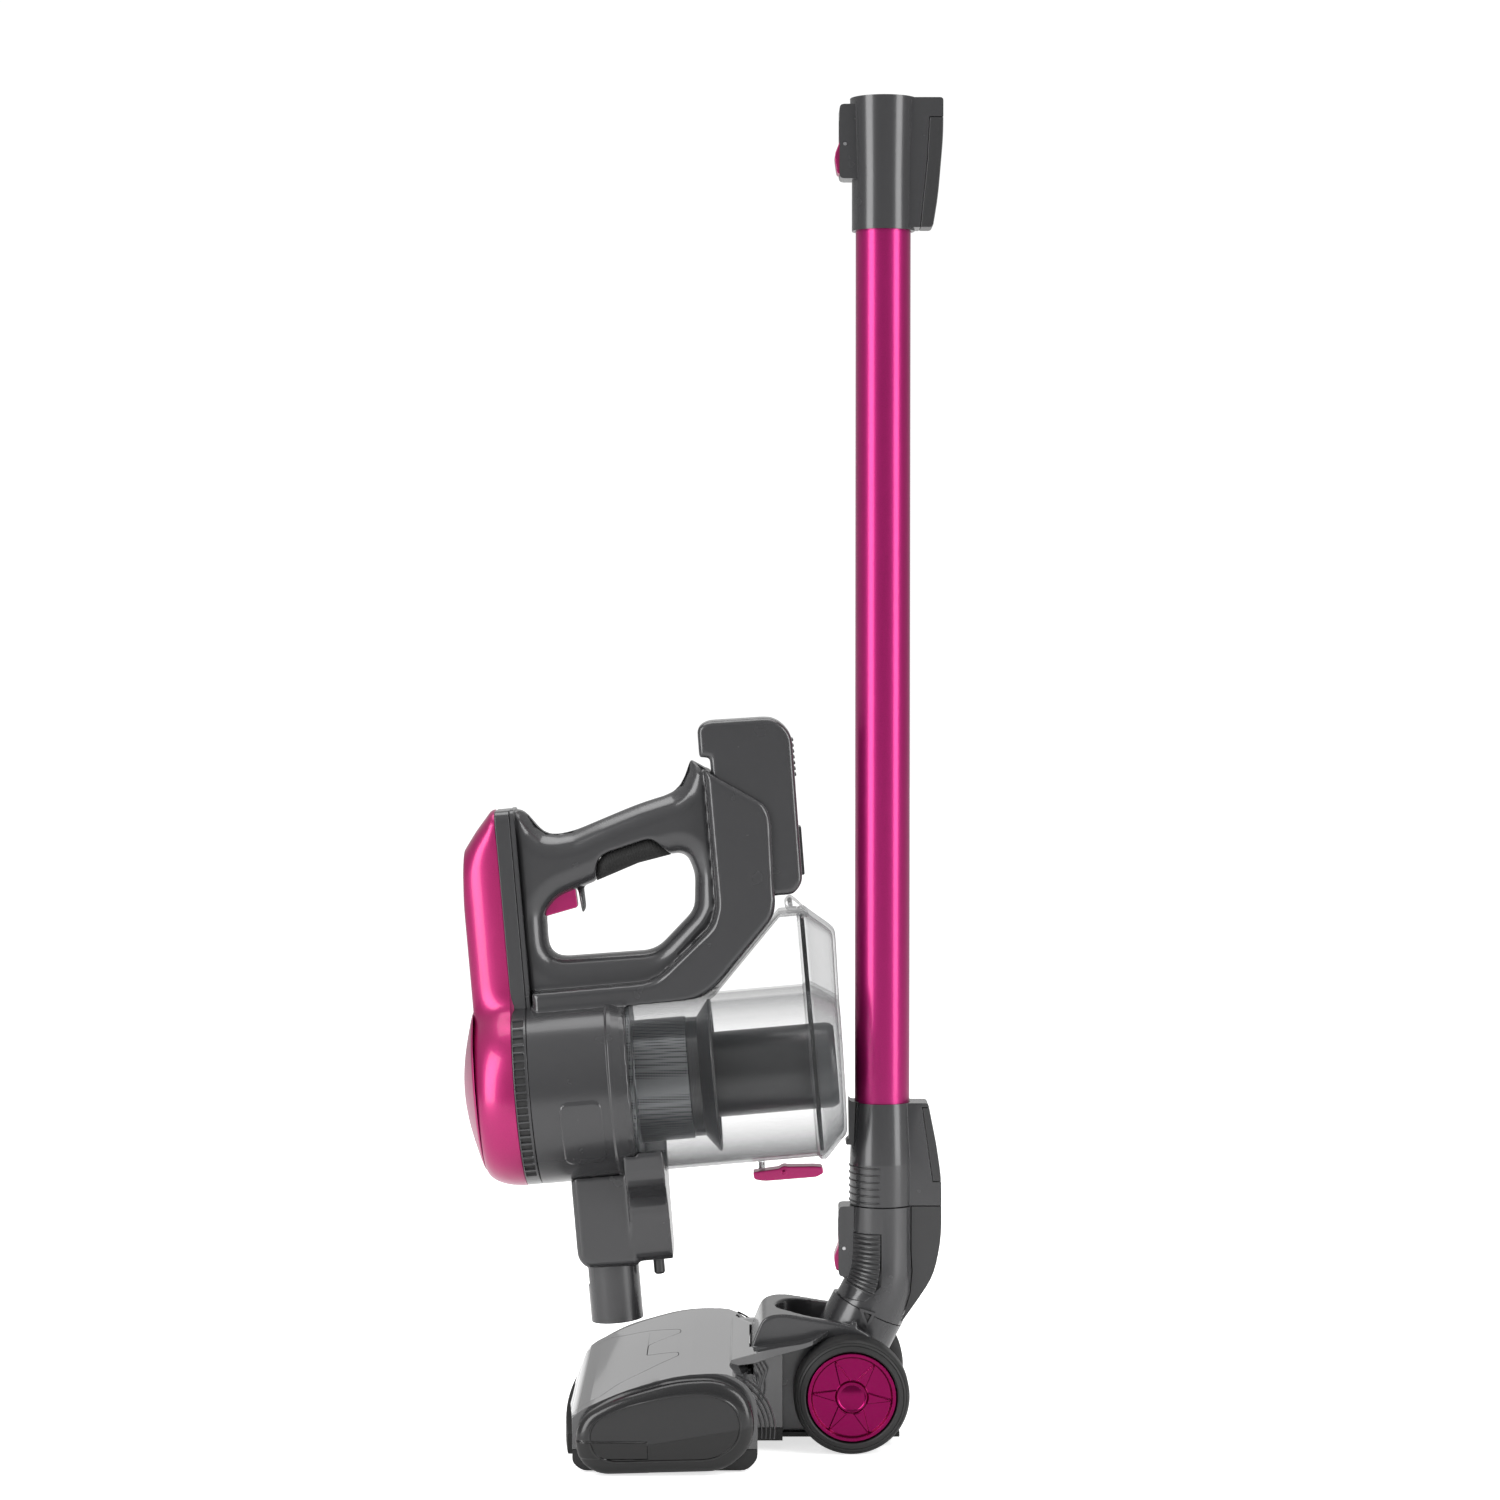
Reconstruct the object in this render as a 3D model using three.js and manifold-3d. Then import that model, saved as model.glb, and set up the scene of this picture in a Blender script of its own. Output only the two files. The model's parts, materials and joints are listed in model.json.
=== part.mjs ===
// Cordless stick vacuum cleaner in its upright storage pose.
// Millimetres, +Z up, floor at Z = 0. X runs from the nozzle (-X) to the wheels (+X), Y across the machine.
// Each sub-assembly is a THREE.Group of named meshes, and each mesh is one closed solid.
import * as THREE from 'three';
import { mergeVertices } from 'three/addons/utils/BufferGeometryUtils.js';
import Module from 'manifold-3d';

const wasm = await Module();
wasm.setup();

// ---------------------------------------------------------------- driving dimensions
const GAP = 0.3;                      // clearance between fixed pieces that touch
const RUN = 0.5;                      // clearance of pieces that turn or slide
const WALL = 2.5;                     // wall of the plastic shells
const CENTRE_SHIFT = 0.325;           // distance from the drawing's X = 0 to the middle of the machine

const head = {
  halfWidth: 118, capWidth: 16, front: -82, rear: 34.5,
  floorGap: 1.2, seamZ: 14, topZ: 60, rearFloorZ: 6, floorThick: 3,
};
head.coverHalf = head.halfWidth - head.capWidth;
head.bayHalf = head.coverHalf - 5;    // half width of the room for the brush and its drive
const brush = { x: -38, z: 25, coreR: 15, tipR: 21.5, half: head.coverHalf - 15, journalR: 4 };
const drive = {
  x: 7, z: 36, motorR: 13, shaftR: 1.4, motorStart: 18,
  beltY: head.coverHalf - 11.5, beltWidth: 5, beltThick: 1.4, brushPulleyR: 11, motorPulleyR: 5.5,
};
const wheel = { x: 92, r: 35.4, tyreDepth: 7.9, inner: 36.5, outer: 60, axleR: 4 };
wheel.hubR = wheel.r - wheel.tyreDepth;
const roller = { x: -68.5, r: 5, y: head.coverHalf - 16, half: 7, pinR: 1.6 };
const cradle = { inner: 27.5, outer: 34.6, front: 30, rear: 116 };
const ductZ = 38;                     // height of the air path from the nozzle into the neck
const neck = {
  tilt: 27, seamX: 103.5, seamZ: 79.7, r: 23.8, barrelR: 23, collarR: 20.8, collarTop: 144.4, airR: 15,
};
const socketR = 16.65;                // bore that takes a 32.5 mm spigot
const wand = { x: 112.3, r: 17, wall: 1.5, bottom: 162, length: 624 };
wand.top = wand.bottom + wand.length;
wand.left = wand.x - wand.r;          // side of the wand that the handheld unit is stored against
wand.right = wand.x + wand.r;         // side of the wand that carries the fins
const finRear = wand.right + 19.5;    // rear edge of the fins on the neck and on both couplings
const lowerCoupling = {
  bottom: 145, top: 208.8, bottomR: wand.r + 3.2, topR: wand.r + 1.7, straight: 26,
  spigotR: socketR - 0.45, spigotEnd: 106, airR: 13.5,
};
const upperCoupling = {
  bottom: wand.top - 38, top: wand.top + 43.4, bottomR: wand.r + 2.4, topR: wand.r + 3.6, straight: 34,
};
const finHalf = 11;                   // half width of the rear fins
const button = { half: 8, boxHalf: 10.5, boxOut: wand.r + 10.3, thick: 3.2, pinR: 1.2, pinIn: 3.4 };

// The handheld unit is drawn about the axis of its motor and cyclone, u along X and v along Z, then leaned.
const handheld = { x: wand.left - 96.55, z: 224.4, lean: 5 };
const motor = { rear: -102.2, front: -42, r: 58 };
const post = { half: 22, top: 176.4 };  // upright strip above the round end of the body
const battery = { left: 23.8, right: 75.4, floor: 109.4, top: 220, neck: 197.6, half: 23.2, headRoom: 8 };
const frameHalf = battery.half + 3.8; // half width of the leg that holds the battery
const loopHalf = 16.5;                // half width of the grip and the loop around the finger hole
const bin = { r: 56, wall: 1.8, mouth: 69, hopperHalf: frameHalf };
const door = { rim: bin.mouth + 0.6, face: 89.4, faceSlope: 0.026, hingeU: 65.3, hingeV: 103.4, pinR: 1.5 };
const shroud = { r: 38, wall: 2, end: -6 };
const tube = { u: -64.4, r: 16.25, airR: 13.5, end: -147 };
const latch = { pinU: 47, pinV: -63.6, pinR: 1, half: 6.6, springU: 33.5 };

// ---------------------------------------------------------------- finishes
const finish = (color, roughness, metalness) => ({ color, roughness, metalness });
const GREY = finish('#4c4c4e', 0.32, 0.25);
const DARK = finish('#2b2b2d', 0.5, 0.05);
const PINK = finish('#a3246a', 0.28, 0.55);
const RUBBER = finish('#1b1b1c', 0.8, 0);
const CLEAR = finish('#dfe6e8', 0.08, 0);
const MESH = finish('#7d7f82', 0.4, 0.7);
const STEEL = finish('#b9bbbd', 0.3, 1);
const BRISTLE = finish('#32343a', 0.9, 0);

// ---------------------------------------------------------------- solids
/** A manifold solid from any closed three.js geometry, turned outside out if it came inside out. */
function solidOf(geometry) {
  let bare = geometry.clone();
  bare.deleteAttribute('normal');
  bare.deleteAttribute('uv');
  bare = mergeVertices(bare, 1e-4);
  const vertProperties = new Float32Array(bare.attributes.position.array);
  const triVerts = new Uint32Array(bare.index.array);
  if (signedVolume(vertProperties, triVerts) < 0) {
    for (let i = 0; i < triVerts.length; i += 3) {
      [triVerts[i], triVerts[i + 1]] = [triVerts[i + 1], triVerts[i]];
    }
  }
  const mesh = new wasm.Mesh({ numProp: 3, vertProperties, triVerts });
  mesh.merge();
  return new wasm.Manifold(mesh);
}

function signedVolume(xyz, corners) {
  const at = (k) => new THREE.Vector3(xyz[3 * k], xyz[3 * k + 1], xyz[3 * k + 2]);
  let sum = 0;
  for (let i = 0; i < corners.length; i += 3) {
    sum += at(corners[i]).dot(at(corners[i + 1]).cross(at(corners[i + 2])));
  }
  return sum;
}

/** The largest body of a cut solid, without the slivers that a cut along a facet leaves. */
const mainBody = (solid) => solid.decompose().sort((a, b) => b.volume() - a.volume())[0];

const join = (first, ...rest) => rest.reduce((sum, other) => sum.add(other), first);
const cut = (first, ...rest) => rest.reduce((left, other) => left.subtract(other), first);
const common = (first, other) => first.intersect(other);

/** A closed outline through [x, y, radius] corners; a corner with a radius is rounded. */
function outline(corners) {
  const shape = new THREE.Shape();
  const points = corners.map(([x, y]) => new THREE.Vector2(x, y));
  corners.forEach(([, , radius = 0], i) => {
    const here = points[i];
    const before = points[(i + corners.length - 1) % corners.length];
    const after = points[(i + 1) % corners.length];
    const draw = i === 0 ? 'moveTo' : 'lineTo';
    if (radius === 0) {
      shape[draw](here.x, here.y);
      return;
    }
    const reach = Math.min(radius, here.distanceTo(before) * 0.49, here.distanceTo(after) * 0.49);
    const enter = here.clone().lerp(before, reach / here.distanceTo(before));
    const leave = here.clone().lerp(after, reach / here.distanceTo(after));
    shape[draw](enter.x, enter.y);
    shape.quadraticCurveTo(here.x, here.y, leave.x, leave.y);
  });
  shape.closePath();
  return shape;
}

/** The same corners moved inwards by a distance, for the inside of a wall; a minus distance moves them out. */
function inset(corners, distance) {
  const area = corners.reduce((sum, [x, y], i) => {
    const [nextX, nextY] = corners[(i + 1) % corners.length];
    return sum + x * nextY - nextX * y;
  }, 0);
  const side = area > 0 ? 1 : -1;
  return corners.map(([x, y, radius = 0], i) => {
    const [px, py] = corners[(i + corners.length - 1) % corners.length];
    const [nx, ny] = corners[(i + 1) % corners.length];
    const a = new THREE.Vector2(x - px, y - py).normalize();
    const b = new THREE.Vector2(nx - x, ny - y).normalize();
    const normalA = new THREE.Vector2(-a.y, a.x).multiplyScalar(side);
    const normalB = new THREE.Vector2(-b.y, b.x).multiplyScalar(side);
    const mid = normalA.clone().add(normalB).normalize();
    const stretch = distance / Math.max(0.35, mid.dot(normalA));
    const rounding = radius === 0 ? 0 : Math.max(0.3, radius - Math.max(0, distance));
    return [x + mid.x * stretch, y + mid.y * stretch, rounding];
  });
}

/** A plan as a function of how far it is shrunk: corner lists are inset, functions are called. */
const planOf = (plan) => (typeof plan === 'function' ? plan : (shrink) => outline(inset(plan, shrink)));

/** Carries a plan along +Z from low to high; an edge size chamfers both ends. */
function prism(plan, low, high, edge = 0, curveSegments = 3) {
  if (edge === 0) {
    const shape = plan instanceof THREE.Shape ? plan : planOf(plan)(0);
    const geometry = new THREE.ExtrudeGeometry(shape, { depth: high - low, bevelEnabled: false,
      curveSegments });
    return geometry.translate(0, 0, low);
  }
  const stations = [[1, 0], [0, 1]];
  const rings = [
    ...stations.map(([shrink, rise]) => [shrink * edge, low + rise * edge]),
    ...stations.reverse().map(([shrink, rise]) => [shrink * edge, high - rise * edge]),
  ];
  return loftGeometry(rings.map(([shrink, z]) => {
    const points = planOf(plan)(shrink).getPoints(curveSegments);
    if (points[0].distanceTo(points.at(-1)) < 1e-6) points.pop();
    return points.map((p) => new THREE.Vector3(p.x, p.y, z));
  }));
}

/** A plan in X and Y carried along Z. */
const slabZ = (plan, low, high, edge, segments) => solidOf(prism(plan, low, high, edge, segments));

/** A plan in X and Z carried along Y. */
function slabY(plan, low, high, edge, segments) {
  return solidOf(prism(plan, -high, -low, edge, segments).rotateX(Math.PI / 2));
}

/** A plan in Y and Z carried along X. */
function slabX(plan, low, high, edge, segments) {
  return solidOf(prism(plan, low, high, edge, segments).rotateZ(Math.PI / 2).rotateY(Math.PI / 2));
}

const box = (x0, x1, y0, y1, z0, z1) => solidOf(new THREE.BoxGeometry(x1 - x0, y1 - y0, z1 - z0)
  .translate((x0 + x1) / 2, (y0 + y1) / 2, (z0 + z1) / 2));

/** A turned solid: [radius, height] profile about the Z axis. */
function turned(profile, segments = 24) {
  const points = profile.map(([r, h]) => new THREE.Vector2(r, h));
  return new THREE.LatheGeometry(points, segments).rotateX(Math.PI / 2);
}

/** A ring profile that closes on itself, from its corners. */
const closed = (profile) => [...profile, profile[0]];
const pipe = (outer, inner, low, high) => closed([[outer, low], [outer, high], [inner, high], [inner, low]]);
const rod = (radius, low, high) => [[0, low], [radius, low], [radius, high], [0, high]];

const turnedZ = (profile, x, y, segments) => solidOf(turned(profile, segments).translate(x, y, 0));
const turnedX = (profile, y, z, segments) => solidOf(turned(profile,
  segments).rotateY(Math.PI / 2).translate(0, y, z));
const turnedY = (profile, x, z, segments) => solidOf(turned(profile,
  segments).rotateX(-Math.PI / 2).translate(x, 0, z));

/** A skin through equal rings of points, closed at both ends. */
function loftGeometry(rings) {
  const count = rings[0].length;
  const positions = rings.flat().flatMap((p) => [p.x, p.y, p.z]);
  const index = [];
  for (let i = 0; i + 1 < rings.length; i += 1) {
    for (let j = 0; j < count; j += 1) {
      const a = i * count + j;
      const b = i * count + ((j + 1) % count);
      index.push(a, b, b + count, a, b + count, a + count);
    }
  }
  const plan = flatten(rings[0]);
  const last = (rings.length - 1) * count;
  for (const [a, b, c] of THREE.ShapeUtils.triangulateShape(plan, [])) {
    index.push(a, c, b, last + a, last + b, last + c);
  }
  const geometry = new THREE.BufferGeometry();
  geometry.setAttribute('position', new THREE.Float32BufferAttribute(positions, 3));
  geometry.setIndex(index);
  return geometry;
}

const loft = (rings) => solidOf(loftGeometry(rings));

/** A planar ring of points in the coordinates of its own plane. */
function flatten(ring) {
  const normal = new THREE.Vector3();
  ring.forEach((p, i) => normal.add(p.clone().cross(ring[(i + 1) % ring.length])));
  normal.normalize();
  const right = new THREE.Vector3(0, 1, 0).cross(normal);
  if (right.lengthSq() < 1e-6) right.set(1, 0, 0);
  right.normalize();
  const up = normal.clone().cross(right);
  return ring.map((p) => new THREE.Vector2(p.dot(right), p.dot(up)));
}

/** A circle in the plane through (x, z) whose axis leans from vertical towards +X. */
function leaningCircle(x, z, radius, leanDegrees, count = 32) {
  const lean = THREE.MathUtils.degToRad(leanDegrees);
  return Array.from({ length: count }, (_, i) => {
    const turn = (2 * Math.PI * i) / count;
    const across = radius * Math.cos(turn);
    return new THREE.Vector3(x + across * Math.cos(lean), radius * Math.sin(turn),
      z - across * Math.sin(lean));
  });
}

/** A solid or a hollow tube drawn about Z, leaned about Y and put at (x, z). */
function leaned(geometry, leanDegrees, x, z) {
  return solidOf(geometry.rotateY(THREE.MathUtils.degToRad(leanDegrees)).translate(x, 0, z));
}

/** A named mesh with its own material from a solid. */
function piece(name, look, solid) {
  const { vertProperties, triVerts } = solid.getMesh();
  const geometry = new THREE.BufferGeometry();
  geometry.setAttribute('position', new THREE.BufferAttribute(vertProperties, 3));
  geometry.setIndex(new THREE.BufferAttribute(triVerts, 1));
  geometry.computeVertexNormals();
  const mesh = new THREE.Mesh(geometry, new THREE.MeshStandardMaterial({ ...look }));
  mesh.name = name;
  return mesh;
}

function groupOf(...meshes) {
  const group = new THREE.Group();
  group.add(...meshes.flat());
  return group;
}

// ---------------------------------------------------------------- floor head
/** Side outline of the nozzle's casing above the seam, in X and Z. */
const coverSide = [
  [head.front, head.seamZ], [head.front + 0.5, 27, 6], [-72, 37, 8], [-47, 48.5, 20], [-11, head.topZ - 1,
    40],
  [20, head.topZ - 0.5, 22], [head.rear, 46, 14], [head.rear, head.seamZ],
];

/** Top outline of the nozzle's middle casing, with a bowed front. */
function coverPlan(grow = 0) {
  const half = head.coverHalf + grow;
  const shape = new THREE.Shape();
  shape.moveTo(head.rear + grow, -half);
  shape.lineTo(head.rear + grow, half);
  shape.lineTo(-76 - grow, half);
  shape.quadraticCurveTo(2 * head.front - 2 * grow + 78, 0, -76 - grow, -half);
  shape.closePath();
  return shape;
}

/** The window's top outline: two prongs that point back on either side of a notch. */
function windowPlan(grow) {
  const span = head.coverHalf - 14;
  const right = [[-90, -span], [-60, -span], [-50, -0.84 * span, 4], [-34, -0.7 * span, 4], [-14,
    -0.46 * span, 3],
    [-14, -0.34 * span, 3], [-34, -0.18 * span, 3]];
  const left = right.map(([x, y, r]) => [x, -y, r]).reverse();
  return inset([...right, ...left], -grow);
}

const nozzleSkin = () => {
  const outer = slabY(coverSide, -head.coverHalf, head.coverHalf);
  const inner = slabY(inset(coverSide, WALL), -head.coverHalf + WALL, head.coverHalf - WALL);
  const below = box(head.front, head.rear - WALL, -head.coverHalf + WALL, head.coverHalf - WALL, 0,
    head.seamZ + 6);
  const inside = common(join(inner, below), slabZ(coverPlan(-WALL), 0, 80));
  return cut(common(outer, slabZ(coverPlan(), 0, 80)), inside);
};

const windowBlock = (grow) => slabZ(windowPlan(grow), 30, 80);

/** Deck that runs back from the nozzle, beside the cradle and over the front of the wheels. */
function rearDeck() {
  const side = [[18, 56], [18, 60, 2], [63, 66.5, 4], [78, 72], [78, 69.4], [63, 63.5, 4], [33, 56]];
  const plan = [[18, -66], [44, -50, 10], [70, -50, 4], [78, -37], [78, 37], [70, 50, 4], [44, 50, 10],
    [18, 66]];
  const deck = common(slabY(side, -70, 70), slabZ(plan, 0, 90));
  const cheeks = [-1, 1].map((s) => box(32, 50, Math.min(s * 45, s * 42), Math.max(s * 45, s * 42),
    head.seamZ, 63.5));
  const wheelArch = turnedY(rod(wheel.r + 1.2, -70, 70), wheel.x, wheel.r, 32);
  return cut(join(deck, ...cheeks), common(wheelArch, join(box(40, 130, -70, -35, 0, 90), box(40, 130, 35,
    70, 0, 90))));
}

function headCover() {
  const cradleRoom = box(cradle.front - GAP, 130, -cradle.outer - GAP, cradle.outer + GAP, 0, 100);
  const shell = cut(join(nozzleSkin(), rearDeck()), windowBlock(GAP), cradleRoom);
  return piece('head_cover', GREY, shell);
}

const brushWindow = () => piece('brush_window', CLEAR, common(nozzleSkin(), windowBlock(0)));

/** Lower tray with the suction mouth, the roller pockets and the rear floor under the neck. */
function headBase() {
  const low = head.floorGap;
  const top = head.seamZ - GAP;
  const side = [[-76, 6, 3], [-70, low, 3], [head.rear - 6, low, 4], [head.rear, 8, 3], [head.rear, top],
    [-75.8, top]];
  const tray = slabY(side, -head.coverHalf, head.coverHalf);
  const mouth = box(brush.x - 23, brush.x + 23, -head.bayHalf, head.bayHalf + 1, 0, 20);
  const driveBay = box(-14, head.rear - WALL - 1, -head.bayHalf, head.bayHalf + 1, 4, 20);
  const tailTop = head.rearFloorZ + head.floorThick;
  const tail = box(head.rear - 4, 122, -cradle.outer, cradle.outer, head.rearFloorZ, tailTop);
  const shoulders = box(head.rear - 4, 50, -45, 45, head.rearFloorZ, top);
  const pockets = [-1, 1].map((s) => box(roller.x - 6, roller.x + 6, s * roller.y - 8, s * roller.y + 8, 0,
    11));
  const cradleFoot = box(cradle.front - GAP, 130, -cradle.outer - GAP, cradle.outer + GAP, tailTop, 40);
  const bodyPart = cut(join(tray, tail, shoulders), mouth, driveBay, ...pockets, cradleFoot);
  const pinHoles = turnedY(rod(roller.pinR + 0.2, -head.bayHalf, head.bayHalf), roller.x, roller.r, 16);
  return piece('head_base', DARK, cut(bodyPart, pinHoles));
}

const capSide = [
  [-74.8, 22.8, 6], [-71, 8, 8], [-60, head.floorGap, 8], [14, 3, 8], [29, 15, 10], [33, 30, 10],
  [29, 48, 12], [12, 58, 14], [-14, 57, 20], [-50, 47, 14], [-70, 36, 8],
];

function endCap(name, side) {
  const near = head.coverHalf + GAP;
  const [low, high] = side < 0 ? [-head.halfWidth, -near] : [near, head.halfWidth];
  const shell = slabY(capSide, low, high, 4, 3);
  const hollow = slabY(inset(capSide, WALL + 2), side < 0 ? low + 5 : near - 1,
    side < 0 ? -near + 1 : high - 5);
  const half = common(cut(shell, hollow), box(-100, 60, low, high, 0, 80));
  return piece(name, DARK, half);
}

/** Rubber strip round the front of the nozzle. */
function frontBumper() {
  const front = head.front;
  const bow = (out) => {
    const shape = new THREE.Shape();
    const half = head.coverHalf - 2;
    const corner = -76.4 - GAP;
    shape.moveTo(corner, half);
    shape.quadraticCurveTo(2 * front + 78 - GAP, 0, corner, -half);
    shape.lineTo(corner - out, -half);
    shape.quadraticCurveTo(2 * front + 78 - GAP - 2 * out, 0, corner - out, half);
    shape.closePath();
    return shape;
  };
  const strip = slabZ(bow(2.4), 12, 22, 0, 12);
  const clearOfCover = slabY(coverSide, -head.coverHalf, head.coverHalf);
  return piece('front_bumper', RUBBER, cut(strip, common(clearOfCover, slabZ(coverPlan(GAP), 0, 80))));
}

/** Raised U that holds the neck, with the pivot holes and a stop lug on each wall. */
function neckCradle() {
  const floor = head.rearFloorZ + head.floorThick + GAP;
  const side = [
    [cradle.front, floor], [cradle.front, 60, 4], [38, 80, 8], [50, 82, 6], [90, 75.5, 10], [104, 69, 6],
    [cradle.rear, 46, 10], [cradle.rear, 20, 8], [106, floor],
  ];
  const block = slabY(side, -cradle.outer, cradle.outer);
  const slotPlan = new THREE.Shape();
  const slotFront = 46;
  slotPlan.moveTo(140, -cradle.inner);
  slotPlan.lineTo(140, cradle.inner);
  slotPlan.lineTo(slotFront + cradle.inner, cradle.inner);
  slotPlan.absarc(slotFront + cradle.inner, 0, cradle.inner, Math.PI / 2, -Math.PI / 2, false);
  slotPlan.closePath();
  const slot = slabZ(slotPlan, 0, 100, 0, 16);
  const lugs = [-1, 1].map((s) => {
    const [y0, y1] = s < 0 ? [-33.4, -28.8] : [28.8, 33.4];
    return box(92.5, 96, y0, y1, 60, 77);
  });
  const pivot = turnedY(rod(wheel.axleR + 0.15, -60, 60), wheel.x, wheel.r, 16);
  const duct = turnedX(rod(13, 10, 60), 0, ductZ, 24);
  return piece('neck_cradle', GREY, cut(join(cut(block, slot), ...lugs), pivot, duct));
}

function brushMotor() {
  const { motorR, motorStart, shaftR, beltY } = drive;
  const [canEnd, noseEnd, shaftEnd] = [beltY - 6.5, beltY - 3.5, beltY + 7];
  const can = turnedY([[0, motorStart], [motorR, motorStart], [motorR, canEnd], [6, canEnd], [6, noseEnd],
    [shaftR, noseEnd], [shaftR, shaftEnd], [0, shaftEnd]], drive.x, drive.z, 18);
  return piece('brush_motor', STEEL, can);
}

/** Outline of a belt run around two pulleys: two arcs and their common outer tangents. */
function beltOutline(grow) {
  const big = drive.brushPulleyR + grow;
  const small = drive.motorPulleyR + grow;
  const dx = drive.x - brush.x;
  const dz = drive.z - brush.z;
  const along = Math.atan2(dz, dx);
  const open = Math.acos((big - small) / Math.hypot(dx, dz));
  const shape = new THREE.Shape();
  shape.absarc(brush.x, brush.z, big, along + open, along - open + 2 * Math.PI, false);
  shape.absarc(drive.x, drive.z, small, along - open, along + open, false);
  shape.closePath();
  return shape;
}

function driveBelt() {
  const y0 = drive.beltY;
  const y1 = y0 + drive.beltWidth;
  const outer = slabY(beltOutline(GAP + drive.beltThick), y0, y1, 0, 6);
  const inner = slabY(beltOutline(GAP), y0 - 1, y1 + 1, 0, 6);
  return piece('drive_belt', RUBBER, cut(outer, inner));
}

function pulley(name, x, z, radius, bore) {
  const y0 = drive.beltY;
  const profile = closed([[radius, y0], [radius, y0 + drive.beltWidth], [bore, y0 + drive.beltWidth],
    [bore, y0]]);
  return piece(name, DARK, turnedY(profile, x, z, 18));
}

const brushPulley = () => pulley('brush_pulley', brush.x, brush.z, drive.brushPulleyR, brush.journalR + GAP);
const motorPulley = () => pulley('motor_pulley', drive.x, drive.z, drive.motorPulleyR, drive.shaftR + 0.05);

function brushCore() {
  const journal = brush.journalR;
  const { half } = brush;
  const profile = [[0, -half - 7], [journal, -half - 7], [journal, -half], [brush.coreR, -half],
    [brush.coreR, half],
    [journal, half], [journal, half + 9.5], [0, half + 9.5]];
  return piece('brush_core', PINK, turnedY(profile, brush.x, brush.z, 20));
}

/** A row of bristles that winds half a turn round the core. */
function bristleStrip(name, startDegrees) {
  const stations = 13;
  const halfThick = 1.6;
  const rings = Array.from({ length: stations }, (_, i) => {
    const share = i / (stations - 1);
    const y = THREE.MathUtils.lerp(-brush.half + 4, brush.half - 4, share);
    const turn = THREE.MathUtils.degToRad(startDegrees + 180 * share);
    const out = new THREE.Vector3(Math.cos(turn), 0, Math.sin(turn));
    const across = new THREE.Vector3(-Math.sin(turn), 0, Math.cos(turn));
    const centre = new THREE.Vector3(brush.x, y, brush.z);
    const corner = (r, w) => centre.clone().addScaledVector(out, r).addScaledVector(across, w);
    const foot = brush.coreR + GAP;
    return [corner(foot, -halfThick), corner(brush.tipR, -halfThick), corner(brush.tipR, halfThick),
      corner(foot, halfThick)];
  });
  return piece(name, BRISTLE, loft(rings));
}

function tyre(name, side) {
  const [near, far] = side < 0 ? [-wheel.outer, -wheel.inner] : [wheel.inner, wheel.outer];
  const round = 4;
  const profile = closed([[wheel.hubR + GAP, near], [wheel.r - round, near], [wheel.r - 1.2, near + 1.2],
    [wheel.r, near + round],
    [wheel.r, far - round], [wheel.r - 1.2, far - 1.2], [wheel.r - round, far], [wheel.hubR + GAP, far]]);
  return piece(name, RUBBER, turnedY(profile, wheel.x, wheel.r, 28));
}

function hub(name, side) {
  const bore = wheel.axleR + RUN;
  const dome = [[0, 58.4], [7, 58], [8, 56.6], [wheel.hubR - 4, 56.6], [wheel.hubR - 3, 58.6],
    [wheel.hubR - 0.5, 59.2], [wheel.hubR, 58]];
  const back = [[wheel.hubR, wheel.inner + 1], [wheel.hubR - WALL, wheel.inner + 1], [wheel.hubR - WALL,
    53], [9, 53],
    [9, wheel.inner + 1], [bore, wheel.inner + 1], [bore, 54], [0, 54]];
  const profile = [...dome, ...back].map(([r, y]) => [r, side * y]);
  return piece(name, PINK, turnedY(profile, wheel.x, wheel.r, 24));
}

function axle(name, side) {
  const profile = [[0, 15], [wheel.axleR, 15], [wheel.axleR, 53], [0, 53]].map(([r, y]) => [r, side * y]);
  return piece(name, STEEL, turnedY(profile, wheel.x, wheel.r, 16));
}

function frontRoller(name, side) {
  const half = roller.half;
  const pin = roller.pinR;
  const profile = [[0, -half - 3], [pin, -half - 3], [pin, -half], [roller.r, -half + 0.6], [roller.r,
    half - 0.6],
    [pin, half], [pin, half + 3], [0, half + 3]];
  const solid = turnedY(profile.map(([r, y]) => [r, y + side * roller.y]), roller.x, roller.r, 16);
  return piece(name, DARK, solid);
}

function floorHead() {
  return groupOf(
    headBase(), headCover(), brushWindow(), endCap('end_cap_left', -1), endCap('end_cap_right', 1),
    frontBumper(), neckCradle(), brushMotor(), driveBelt(), axle('axle_left', -1), axle('axle_right', 1),
    tyre('tyre_left', -1), hub('hub_left', -1), tyre('tyre_right', 1), hub('hub_right', 1),
    frontRoller('front_roller_left', -1), frontRoller('front_roller_right', 1),
    brushCore(), bristleStrip('bristle_strip_a', 0), bristleStrip('bristle_strip_b', 180), brushPulley(),
      motorPulley(),
  );
}

// ---------------------------------------------------------------- neck
const seam = { x: neck.seamX, z: neck.seamZ };

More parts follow.
